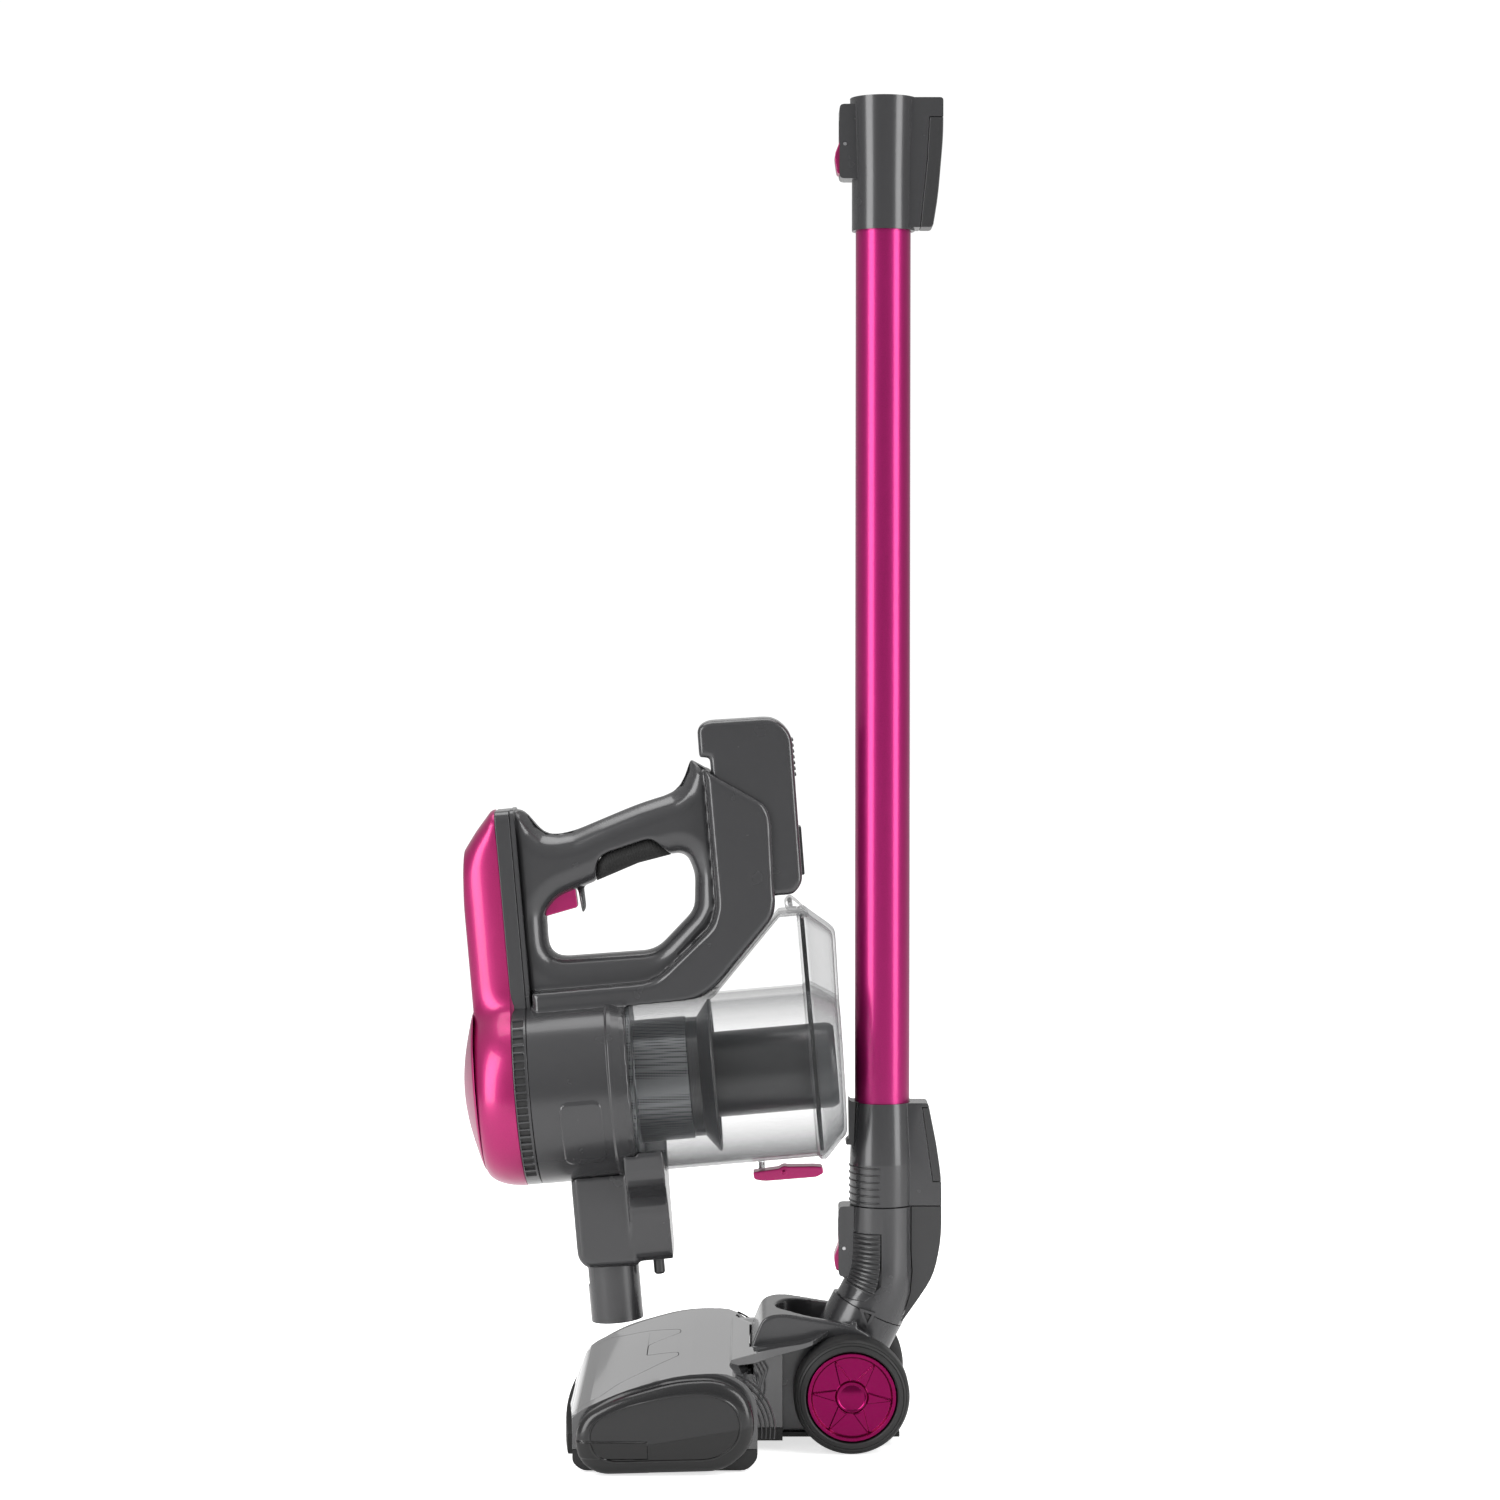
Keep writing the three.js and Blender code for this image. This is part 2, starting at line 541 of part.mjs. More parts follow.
/** Barrel on the axle pins and the tube that rises from it to the swivel seam. */
function neckTube() {
  const reach = 46;
  const seat = 20.4;
  const sleeve = 13;
  const outer = leaned(turned(rod(neck.r, -reach, -GAP), 24), neck.tilt, seam.x, seam.z);
  const barrel = turnedY(rod(neck.barrelR, -cradle.inner + 1.6, cradle.inner - 1.6), wheel.x, wheel.r, 28);
  const air = leaned(turned(rod(neck.airR, -reach - 1, 1), 16), neck.tilt, seam.x, seam.z);
  const spigotRoom = leaned(turned(rod(seat, -sleeve, 1), 24), neck.tilt, seam.x, seam.z);
  const pinHole = turnedY(rod(wheel.axleR + 0.15, -40, 40), wheel.x, wheel.r, 16);
  const mouth = turnedX(rod(11, 40, 84), 0, ductZ, 20);
  const belowFloor = box(40, 140, -40, 40, -10, head.rearFloorZ + head.floorThick + 2);
  return piece('neck_tube', GREY, cut(join(outer, barrel), air, spigotRoom, pinHole, mouth, belowFloor));
}

/** Stations of the elbow's centre line: [x, z, radius, lean]. */
const elbowLine = [
  [seam.x + 0.14, seam.z + 0.27, neck.r, neck.tilt], [107, 87, 23.4, 25], [110.4, 96, 22.6, 16],
  [wand.x - 0.2, 106, 21.6, 6], [wand.x, 117, neck.collarR, 0], [wand.x, neck.collarTop, neck.collarR, 0],
];

const elbowBody = (shrink) => loft(elbowLine.map(([x, z, r, lean]) => leaningCircle(x, z, r - shrink, lean,
  24)));

/** Box round a release button: the plan's left edge, bottom and top. */
const buttonBox = (x, low, high) => slabY(
  [[x - button.boxOut, low, 3], [x - button.boxOut, high, 3], [x - 8, high], [x - 8, low]],
    -button.boxHalf, button.boxHalf);

/** Room for a rocker inside its box, open towards -X, and the holes for its pin. */
function buttonRoom(x, low, high, pinZ) {
  const side = button.half + RUN;
  const mouth = box(x - button.boxOut - 8, x - button.boxOut + 6.2, -side, side, low + 2.2, high - 8);
  const pin = turnedY(rod(button.pinR + 0.1, -button.boxHalf - 1, button.boxHalf + 1),
    x - button.boxOut + button.pinIn, pinZ, 16);
  return [mouth, pin];
}

const neckButton = { low: 100.6, high: neck.collarTop, pinZ: 118.1 };
const wandButton = { low: upperCoupling.top - 50, high: upperCoupling.top - 4.4,
  pinZ: upperCoupling.top - 28.8 };

/** Rocker: a plate on its pin with a thumb pad that bulges out below it. */
function rocker(name, { low, high, pinZ }) {
  const face = wand.x - button.boxOut;
  const back = face + button.thick + 2.4;
  const side = [
    [face + 0.6, high - 9.5], [face + 0.2, pinZ + 1, 4], [face - 3.2, pinZ - 6, 8], [face - 1.4, low + 3.2,
      2],
    [face + 1.6, low + 3.2], [face + 1.8, pinZ - 8], [back, pinZ - 3], [back, pinZ + 3], [face + 3.4,
      high - 9.5],
  ];
  const plate = slabY(side, -button.half, button.half);
  const hole = turnedY(rod(button.pinR + 0.25, -20, 20), face + button.pinIn, pinZ, 16);
  return piece(name, PINK, cut(plate, hole));
}

const rockerPin = (name, { pinZ }) => piece(name, STEEL,
  turnedY(rod(button.pinR, -button.boxHalf + 0.4, button.boxHalf - 0.4),
    wand.x - button.boxOut + button.pinIn, pinZ, 16));

/** Rear web of the neck that carries the wires, in X and Z. */
const neckFin = [
  [wand.x + 14, neck.collarTop], [finRear, neck.collarTop], [finRear, 124, 20], [144, 101, 12], [134, 86,
    10], [124, 72, 3],
  [wand.x + 4, 88],
];

/** Side of the rib panel, which wraps the front of the elbow between two heights. */
const panelSide = [[60, 92], [101, 87], [111.4, 97], [111.4, 128.6], [60, 128.6]];
const panelDepth = 1.8;
function panelSlot(grow) {
  const half = button.boxHalf + 0.4 + grow;
  return box(60, 100.3 + grow, -half, half, neckButton.low - 1.3 - grow, neck.collarTop - 4.4);
}


function neckElbow() {
  const outside = join(elbowBody(0), buttonBox(wand.x, neckButton.low, neckButton.high));
  const panelCut = cut(slabY(panelSide, -40, 40), elbowBody(panelDepth + GAP), panelSlot(0));
  const spigotRoom = turnedZ(rod(socketR, lowerCoupling.spigotEnd - 1, neck.collarTop + 1), wand.x, 0, 28);
  const airLine = elbowLine.slice(0, 5).map(([x, z, , lean]) => leaningCircle(x, z, neck.airR, lean, 16));
  const foot = leaningCircle(seam.x - 7, seam.z - 13.7, neck.airR, neck.tilt, 16);
  const spigot = leaned(turned(rod(20, -12, 1), 24), neck.tilt, seam.x, seam.z);
  const finRoom = cut(slabY(inset(neckFin, -GAP), -finHalf - GAP, finHalf + GAP), elbowBody(0.4));
  const solid = cut(join(outside, spigot), panelCut, spigotRoom, loft([foot, ...airLine]), finRoom,
    ...buttonRoom(wand.x, neckButton.low, neckButton.high, neckButton.pinZ));
  return piece('neck_elbow', GREY, mainBody(solid));
}

const neckBackCover = () => piece('neck_back_cover', DARK,
  cut(slabY(neckFin, -finHalf, finHalf, 0), elbowBody(-GAP)));

/** Ribbed grip panel let into the front of the elbow; the button box stands in its slot. */
function neckRibPanel() {
  const zone = slabY(inset(panelSide, GAP), -40, 40);
  const skin = cut(common(elbowBody(-0.6), zone), elbowBody(panelDepth), panelSlot(GAP));
  return piece('neck_rib_panel', DARK, mainBody(skin));
}

/** V-shaped catch on the side of the neck, behind the cradle's stop lug. */
function uprightCatch() {
  const outer = [[97.5, 84], [107.5, 81], [102.2, 70.6]];
  const inner = inset(outer, 1.6);
  const plate = cut(slabY(outer, -27, -15), slabY(inner, -28, -10));
  const clear = join(elbowBody(-GAP), leaned(turned(rod(neck.r + GAP, -40, 1), 24), neck.tilt, seam.x,
    seam.z));
  return piece('upright_catch', GREY, cut(plate, clear));
}

const neckGroup = () => groupOf(
  neckTube(), neckElbow(), neckBackCover(), neckRibPanel(), uprightCatch(),
  rocker('neck_button', neckButton), rockerPin('neck_button_pin', neckButton),
);

// ---------------------------------------------------------------- wand
const wandTube = () => piece('wand_tube', PINK,
  turnedZ(pipe(wand.r, wand.r - wand.wall, wand.bottom, wand.top), wand.x, 0, 32));

const lowerFin = [
  [wand.x + 10, lowerCoupling.top], [wand.right + 11.3, lowerCoupling.top, 2], [wand.right + 16.3, 183.8, 6],
  [finRear, 162, 8], [finRear, lowerCoupling.bottom], [wand.x + 10, lowerCoupling.bottom],
];
const upperFinLow = upperCoupling.bottom + 1.5;
const upperFinHigh = upperCoupling.top - 0.4;
const upperFin = [
  [wand.x + 10, upperFinLow], [wand.right + 13.2, upperFinLow, 2], [wand.right + 16.3, upperFinLow + 18.5,
    10],
  [finRear, upperFinLow + 56.5, 8], [finRear, upperFinHigh, 2], [wand.x + 10, upperFinHigh],
];
/** Part of each fin that is a separate cover, behind a slanting seam. */
const coverEnd = finRear + 11;        // clear of the fins' rear edge
const lowerCoverZone = [[wand.right + 7.7, 206], [wand.right + 14.2, 160], [coverEnd, 160], [coverEnd, 206]];
const upperCoverHigh = upperCoupling.top - 12.4;
const upperCoverZone = [
  [wand.right + 11.2, upperCoverHigh], [wand.right + 9.7, upperCoverHigh - 27],
  [wand.right + 4.7, upperCoupling.bottom - 8], [coverEnd, upperCoupling.bottom - 8], [coverEnd,
    upperCoverHigh],
];

function coupling(profile, fin, coverZone) {
  const sleeve = turnedZ(profile, wand.x, 0, 32);
  const web = cut(slabY(fin, -finHalf, finHalf, 0), slabY(inset(coverZone, -GAP), -20, 20));
  const bore = turnedZ(rod(socketR, 60, upperCoupling.top + 70), wand.x, 0, 28);
  return join(sleeve, cut(web, bore));
}

function lowerCouplingPiece() {
  const { bottom, top, bottomR, topR, straight, spigotR, spigotEnd, airR } = lowerCoupling;
  const seat = wand.r + GAP;
  const ledge = wand.bottom - GAP;
  const profile = closed([[spigotR, spigotEnd], [spigotR, bottom], [bottomR, bottom], [bottomR,
    bottom + straight],
    [topR, top], [seat, top], [seat, ledge], [airR, ledge], [airR, spigotEnd]]);
  const solid = cut(coupling(profile, lowerFin, lowerCoverZone), turnedZ(rod(seat, ledge, top + 90),
    wand.x, 0, 32));
  return piece('lower_coupling', GREY, solid);
}

function upperCouplingPiece() {
  const { bottom, top, bottomR, topR, straight } = upperCoupling;
  const seat = wand.r + GAP;
  const stop = wand.top + GAP;
  const profile = closed([[bottomR, bottom], [bottomR, bottom + straight], [topR, top], [socketR, top],
    [socketR, stop],
    [seat, stop], [seat, bottom]]);
  const tubeRoom = turnedZ(rod(seat, bottom - 48, stop), wand.x, 0, 32);
  const sleeve = cut(coupling(profile, upperFin, upperCoverZone), tubeRoom);
  const casing = cut(buttonBox(wand.x, wandButton.low, wandButton.high),
    turnedZ(rod(socketR, wand.top, top + 70), wand.x, 0, 28), tubeRoom);
  const room = buttonRoom(wand.x, wandButton.low, wandButton.high, wandButton.pinZ);
  return piece('upper_coupling', GREY, cut(join(sleeve, casing), ...room));
}

const finCover = (name, fin, zone) => piece(name, DARK, common(slabY(fin, -finHalf, finHalf), slabY(zone,
  -20, 20)));

/** Block on the lower coupling that the bin door's rim hangs on. */
function storageHook() {
  const face = wand.left - 5.7;
  const rear = wand.left + 4.7;
  const side = [[face + 1.6, 211], [face + 3.4, 209.4, 2], [rear, 209.4], [rear, 182.6], [face, 182.6, 1],
    [face, 184.4],
    [face + 1.9, 186.2]];
  const body = slabY(side, -9, 9);
  const { bottom, bottomR, topR, top, straight } = lowerCoupling;
  const keepOut = turnedZ([[0, bottom], [bottomR + GAP, bottom], [bottomR + GAP, bottom + straight],
    [topR + GAP, top],
    [wand.r + GAP, top + 0.01], [wand.r + GAP, top + 20], [0, top + 20]], wand.x, 0, 32);
  return piece('storage_hook', DARK, cut(body, keepOut));
}

const wandGroup = () => groupOf(
  wandTube(), lowerCouplingPiece(), finCover('lower_back_cover', lowerFin, lowerCoverZone), storageHook(),
  upperCouplingPiece(), finCover('upper_back_cover', upperFin, upperCoverZone),
  rocker('wand_button', wandButton), rockerPin('wand_button_pin', wandButton),
);

// ---------------------------------------------------------------- handheld unit
/** Keyhole outline: a round end about the origin and a narrower post with rounded corners above it. */
function keyholeShape(radius, half, top, corner) {
  const arcSteps = 30;
  const start = Math.PI / 2 - Math.asin(half / radius);
  const sweep = 2 * Math.PI - 2 * Math.asin(half / radius);
  const points = Array.from({ length: arcSteps + 1 }, (_, i) => {
    const angle = start - (sweep * i) / arcSteps;
    return new THREE.Vector2(radius * Math.cos(angle), radius * Math.sin(angle));
  });
  const cornerPoints = (side) => [[1, 0], [0.7, 0.1], [0.1, 0.7], [0, 1]].map(([down, out]) => (
    new THREE.Vector2(side * (half - corner * (1 - down)), top - corner * down * (1 - out))));
  return new THREE.Shape([...points, ...cornerPoints(-1), ...cornerPoints(1).reverse()]);
}

/** Outline of the rear of the body in Y and Z. */
const keyhole = (shrink) => keyholeShape(motor.r + 0.4 - shrink, post.half - shrink, post.top - shrink, 8);

/** Pink rear cover: a keyhole dish that closes the motor and the post. */
function rearCap() {
  const seamU = -112;
  const block = slabX(keyhole, seamU - 24, seamU + 24, 12, 6);
  const outside = common(block, box(-200, seamU, -80, 80, -80, 200));
  const hollow = slabX((shrink) => keyhole(shrink + WALL + 1), seamU - 20, seamU + 24, 10, 5);
  const side = [[-105, 180], [-114.5, 176.4], [-125, 164.5, 4], [-134, 153, 6], [-136.4, 90], [-137, -70],
    [-105, -70]];
  return piece('rear_cap', PINK, common(cut(outside, hollow), slabY(side, -80, 80)));
}

/** Domed disc on the rear cover. */
function capDisc() {
  const base = -136.3;
  const profile = [[0, base], [44, base], [43, base - 3], [36, base - 6.4], [24, base - 8.8], [10,
    base - 9.9], [0, base - 10.1]];
  return piece('cap_disc', PINK, turnedX(profile, 0, 3, 28));
}

/** Keyhole band between the rear cover and the body, with exhaust slots down both sides. */
function ventRing() {
  const band = cut(slabX(keyhole(0.4), -111.7, -102.5, 0, 7), slabX(keyhole(WALL + 0.4), -120, -90, 0, 7));
  const pitch = 9.6;
  const slots = [];
  for (let i = -4; i <= 5; i += 1) {
    const v = i * pitch - 2;
    slots.push(box(-109.6, -105, -70, 70, v - 1.9, v + 1.9));
  }
  const sides = join(box(-120, -90, -70, -30, -60, 60), box(-120, -90, 30, 70, -60, 60));
  return piece('vent_ring', GREY, cut(band, common(join(...slots), sides)));
}

const legOutline = [
  [-98, 47], [-98, 63], [-22, 63, 10], [16, 94, 6], [20.2, 106, 6], [20.2, 191], [55.4, 167, 5], [58.5,
    158, 5],
  [56.6, 109], [55, 97, 10], [14, 55, 10], [0, 48.5, 8], [-40, 47],
];
const loopOutline = [
  [motor.rear, 50], [motor.rear, 176, 3], [-94, 174.6, 6], [-82, 157.6, 12], [-66, 158.6, 10], [-22.5,
    172.6, 10],
  [3, 178, 10], [11.6, 197], [22.2, 189.7], [22.2, 104, 4], [14, 92, 6], [-18, 62, 4], [-40, 50],
];
const fingerHole = [
  [-86, 110, 4], [-86.5, 82, 12], [-20, 81, 8], [6, 104, 6], [8.3, 126, 4], [4, 141, 12], [-26, 136], [-78,
    119, 6],
];
const gripInsert = [[-53.5, 124], [-51, 140, 6], [-46, 144, 4], [-17, 151, 4], [-4, 138]];

const motorRing = () => turnedX(closed([[motor.r, motor.rear], [motor.r, motor.front], [30, motor.front],
  [30, motor.front - WALL],
  [motor.r - WALL, motor.front - WALL], [motor.r - WALL, motor.rear]]), 0, 0, 36);

const binRoom = () => turnedX(rod(bin.r + 0.4, motor.front + GAP, 90), 0, 0, 36);
const motorRoom = () => turnedX(rod(motor.r - WALL, motor.rear - 1, motor.front - WALL), 0, 0, 36);

/** Whole handle, leg and motor casing before it is split down the middle. */
function bodyCasing() {
  const leg = slabY(legOutline, -frameHalf, frameHalf, 2.5);
  const loop = slabY(loopOutline, -loopHalf, loopHalf, 5);
  const legRoom = slabY(inset(legOutline, WALL), -frameHalf + WALL, frameHalf - WALL);
  const holeWall = slabY(inset(fingerHole, -WALL), -loopHalf, loopHalf);
  const roomHalf = loopHalf - WALL - 2.2;
  const loopRoom = cut(slabY(inset(loopOutline, WALL), -roomHalf, roomHalf), holeWall);
  const dockHalf = battery.half + RUN;
  const dockMouth = box(44, 90, -dockHalf, dockHalf, battery.floor - RUN, 240);
  const dockTop = box(battery.left - RUN, 90, -dockHalf, dockHalf, 150, 240);
  const dockFloor = box(21.5, 56, -frameHalf + 1, frameHalf - 1, battery.floor - RUN - WALL,
    battery.floor - RUN);
  const guard = slabY([[-65.5, 127], [-61.5, 128.4], [-61, 110, 2], [-63.6, 107.6, 1]], -6, 6);
  const shell = cut(join(leg, loop, motorRing()), legRoom, loopRoom, slabY(fingerHole, -60, 60, 0, 6),
    motorRoom(), binRoom());
  const dock = cut(join(shell, dockFloor, guard), dockMouth, dockTop);
  const insertRoom = slabY(inset(gripInsert, -GAP), -40, 40);
  const triggerRoom = box(-86.6, -66.2, -7.4, 7.4, 100, 130);
  const hingeRoom = turnedY(rod(6.4, -40, 40), door.hingeU, door.hingeV, 24);
  return cut(dock, insertRoom, triggerRoom, hingeRoom);
}

/** One half of the casing, on one side of the middle plane. */
function bodyShell(name, side) {
  const half = side < 0 ? box(-200, 200, -80, -GAP / 2, -200, 300) : box(-200, 200, GAP / 2, 80, -200, 300);
  return piece(name, GREY, mainBody(common(bodyCasing(), half)));
}

function gripInsertPiece() {
  const pad = common(slabY(gripInsert, -loopHalf, loopHalf, 5), slabY(loopOutline, -loopHalf, loopHalf, 5));
  return piece('grip_insert', RUBBER, cut(pad, slabY(fingerHole, -60, 60, 0, 6)));
}

/** Motor can with a mounting ring at each end. */
function suctionMotor() {
  const mount = motor.r - WALL - GAP;
  const profile = closed([[12, -100], [mount, -100], [mount, -96], [41, -96], [41, -56], [mount, -56],
    [mount, -50], [12, -50]]);
  return piece('suction_motor', STEEL, turnedX(profile, 0, 0, 28));
}

/** Mesh cylinder round the filter, flanged at the motor end. */
function cycloneShroud() {
  const start = motor.front + GAP;
  const flange = bin.r - bin.wall - GAP;
  const { r, wall, end } = shroud;
  const profile = closed([[flange, start], [flange, start + 2.5], [r, start + 2.5], [r, end], [r - wall,
    end], [r - wall, start]]);
  return piece('cyclone_shroud', MESH, turnedX(profile, 0, 0, 32));
}

/** Flared skirt at the shroud's free end. */
function shroudSkirt() {
  const start = shroud.end + GAP;
  const profile = closed([[37, start], [37, 1], [47.4, 9], [47.4, 10.5], [45, 10.5], [34, 2.5], [28, 2.5],
    [28, start]]);
  return piece('shroud_skirt', DARK, turnedX(profile, 0, 0, 32));
}

const filterTube = () => piece('filter_tube', DARK,
  turnedX(closed([[26.5, 2.5 + GAP], [26.5, 81.6], [24, 85.4], [12, 85.4], [12, 82], [24, 80], [24,
    2.5 + GAP]]), 0, 0, 28));

/** Side outline of the hopper over the round bin, under the battery leg. */
const hopper = [[0, 30], [8, 49], [14.6, 53.8], [55.8, 96], [57, 99.6, 2], [bin.mouth, 98.2], [bin.mouth,
  30]];

function dustBin() {
  const start = motor.front + GAP + 0.2;
  const round = turnedX(rod(bin.r, start, bin.mouth), 0, 0, 36);
  const top = slabY(hopper, -bin.hopperHalf, bin.hopperHalf);
  const lessWall = bin.r - bin.wall;
  const insideRound = turnedX(rod(lessWall, start - 1, bin.mouth + 1), 0, 0, 36);
  const raised = inset(hopper, bin.wall).map(([x, z]) => [x > 60 ? bin.mouth + 1 : x, z]);
  const insideTop = slabY(raised, -bin.hopperHalf + bin.wall, bin.hopperHalf - bin.wall);
  const inlet = box(-39, -28, -8, 8, -70, -30);
  const [lugNear, lugFar] = [bin.hopperHalf - 8, bin.hopperHalf - 1];
  const lugs = [box(62.3, bin.mouth, -lugFar, -lugNear, 95, 107.4), box(62.3, bin.mouth, lugNear, lugFar,
    95, 107.4)];
  const pin = turnedY(rod(door.pinR + GAP, -60, 60), door.hingeU, door.hingeV, 16);
  const housing = box(23.6, 27.4, -6, 6, -67, -50);
  const ears = [-1, 1].map((s) => box(44, 50, s < 0 ? -9.5 : 7, s < 0 ? -7 : 9.5, -66.8, -52));
  const latchPinHoles = turnedY(rod(latch.pinR + GAP, -20, 20), latch.pinU, latch.pinV, 16);
  const walls = cut(join(round, top, ...lugs, housing, ...ears), insideRound, insideTop, inlet, pin,
    latchPinHoles);
  return piece('dust_bin', CLEAR, walls);
}

/** Ring of points round the door at one station, grown or shrunk: the round bin with the hopper's top. */
function doorRing(u, grow) {
  const shape = keyholeShape(bin.r + 2 + grow, bin.hopperHalf + 2 + grow, 98.8 + grow, 4);
  return shape.getPoints().map((p) => new THREE.Vector3(u, p.x, p.y));
}

function binDoor() {
  const { rim, face, hingeU, hingeV } = door;
  const leanFace = (ring) => ring.map((p) => new THREE.Vector3(p.x + door.faceSlope * p.z, p.y, p.z));
  const outer = loft([doorRing(rim + 0.8, 0), doorRing(rim + 4, 0), leanFace(doorRing(face, -13))]);
  const inner = loft([doorRing(rim, -3.8), doorRing(rim + 4, -2), leanFace(doorRing(face - 2, -14.5))]);
  const lugHalf = bin.hopperHalf - 8.6;
  const lug = slabY([[hingeU - 4, hingeV, 3], [hingeU, hingeV + 4.2, 3], [hingeU + 4.6, hingeV, 2],
    [rim + 8, 94], [rim + 1, 94],
    [rim + 1, 98.4], [hingeU - 2, 99.8]], -lugHalf, lugHalf);
  const pin = turnedY(rod(door.pinR + GAP, -60, 60), hingeU, hingeV, 16);
  return piece('bin_door', CLEAR, cut(join(cut(outer, inner), cut(lug, inner)), pin));
}

/** Rubber seal between the bin's mouth and the door. */
function doorSeal() {
  const ring = cut(loft([doorRing(door.rim + 1, -5.4), doorRing(door.rim + 3.4, -5.4)]),
    loft([doorRing(door.rim, -8), doorRing(door.rim + 5, -8)]));
  return piece('door_seal', RUBBER, ring);
}

const doorHingePin = () => piece('door_hinge_pin', STEEL, turnedY(rod(door.pinR, -bin.hopperHalf + 1.4,
  bin.hopperHalf - 1.4), door.hingeU, door.hingeV, 16));

/** Lever under the bin that keeps the door shut. */
function doorLatch() {
  const side = [[28, -62], [28, -66.4, 1.5], [34, -68.2, 3], [67, -68.4, 1.5], [71.6, -66.2, 1], [71,
    -62.4, 1], [66, -61.6],
    [50, -60.4], [47, -59.6, 2], [44, -61.2]];
  const lever = slabY(side, -latch.half, latch.half);
  const pin = turnedY(rod(latch.pinR, -latch.half - 2.7, latch.half + 2.7), latch.pinU, latch.pinV, 12);
  return piece('door_latch', PINK, join(lever, pin));
}

const latchSpring = () => piece('latch_spring', STEEL,
  turnedZ(pipe(2.2, 1.4, -bin.r - 5.6, -bin.r - 0.6), latch.springU, 0, 10));

/** Air inlet under the body: a duct block beside a saddle that hugs the bin. */
function inletHousing() {
  const duct = slabY([[-84.6, -48], [-84.6, -104, 4], [-80, -110.4, 4], [-47, -111.6, 2], [-47, -48]], -23,
    23, 3);
  const saddle = slabX([[-43, -38, 3], [-42, -58, 8], [-27, -70, 12], [-22, -106, 4], [-18, -109.6, 3],
    [18, -109.6, 3], [22, -106, 4], [27, -70, 12], [42, -58, 8], [43, -38, 3]], -50, -25.6, 0);
  const motorSpace = turnedX(rod(motor.r + 0.4, -130, motor.front + 0.2), 0, 0, 36);
  const binSpace = turnedX(rod(bin.r + 0.5, motor.front - 1, 60), 0, 0, 36);
  const rise = turnedZ(rod(tube.r + 0.2, -120, -92), tube.u, 0, 20);
  const air = turnedZ(rod(tube.airR, -95, -74), tube.u, 0, 20);
  const across = turnedX(rod(9, -70, -33.5), 0, -80, 20);
  const up = box(-39, -28, -8, 8, -84, -50);
  const plugRoom = turnedZ(rod(3.8, -120, -98), -35.6, 0, 16);
  const block = cut(join(duct, saddle), motorSpace, binSpace, rise, air, across, up, plugRoom);
  return piece('inlet_housing', GREY, block);
}

/** Nozzle that the wand or a tool pushes onto, with the notch for a release catch. */
function inletTube() {
  const notch = box(tube.u - tube.r - 2, tube.u - tube.r + 2.4, -5, 5, -124, -113);
  const pipeBody = turnedZ(pipe(tube.r, tube.airR, tube.end, -93), tube.u, 0, 28);
  return piece('inlet_tube', GREY, cut(pipeBody, notch));
}

const contactPlug = () => piece('contact_plug', DARK,
  turnedZ([[0, -121], [2.6, -121], [3.5, -119.8], [3.5, -99], [0, -99]], -35.6, 0, 12));

function trigger() {
  const side = [[-86.2, 108, 1], [-66, 112, 1], [-66.6, 125.4], [-85.6, 119.4]];
  return piece('trigger', PINK, slabY(side, -7, 7));
}

/** Battery casing: a box that stands in the leg, with a wider head above the leg's edge. */
function batteryCase() {
  const { left, right, floor, top, neck: neckV, half, headRoom } = battery;
  const side = [[left, floor], [left, neckV], [17.4, neckV + 1, 1], [17.6, 217, 4], [24, top, 3], [66,
    top - 1, 9], [right, 208, 6],
    [74.2, 116, 5], [68, floor, 3]];
  const shell = slabY(side, -half, half, 2);
  const room = box(left + WALL, right - 6, -half + WALL, half - WALL, floor + WALL, top - headRoom);
  const contactSlot = box(34, 46, -12, 12, floor - 2, floor + WALL + 1);
  const latchRoom = box(right - 6.4, right + 5, -9.6, 9.6, 119, 151);
  return piece('battery_case', GREY, cut(shell, room, contactSlot, latchRoom));
}

function cellPack() {
  const { left, right, floor, top, half, headRoom } = battery;
  const inner = WALL + GAP;
  return piece('cell_pack', DARK,
    box(left + inner, right - 6.7, -half + inner, half - inner, floor + inner, top - headRoom - GAP));
}

/** Push plate on the outer face of the battery that frees it from the leg. */
function batteryLatch() {
  const right = battery.right;
  const side = [[right - 3.4, 120], [right + 0.6, 120, 1], [right + 0.9, 150, 1], [right - 3.4, 150]];
  return piece('battery_latch', DARK, slabY(side, -9, 9));
}

function handheldGroup() {
  const group = groupOf(
    rearCap(), capDisc(), ventRing(), bodyShell('body_shell_left', -1), bodyShell('body_shell_right', 1),
    gripInsertPiece(), suctionMotor(), cycloneShroud(), shroudSkirt(), filterTube(), dustBin(),
      doorHingePin(),
    inletHousing(), inletTube(), contactPlug(), trigger(), batteryCase(), cellPack(), batteryLatch(),
    binDoor(), doorSeal(), doorLatch(), latchSpring(),
  );
  group.position.set(handheld.x, 0, handheld.z);
  group.rotation.y = -THREE.MathUtils.degToRad(handheld.lean);
  return group;
}

// ---------------------------------------------------------------- machine
const machine = new THREE.Group();
machine.add(floorHead(), neckGroup(), wandGroup(), handheldGroup());
machine.position.x = -CENTRE_SHIFT;

export default machine;
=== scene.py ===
"""Cordless stick vacuum cleaner in its upright storage pose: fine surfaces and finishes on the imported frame.

Sizes are millimetres until a mesh is built, which turns them into metres.
X runs from the nozzle to the wheels, Y across the machine and Z up.
"""

import json
import logging
import math
from collections.abc import Callable
from dataclasses import dataclass, field
from enum import Enum

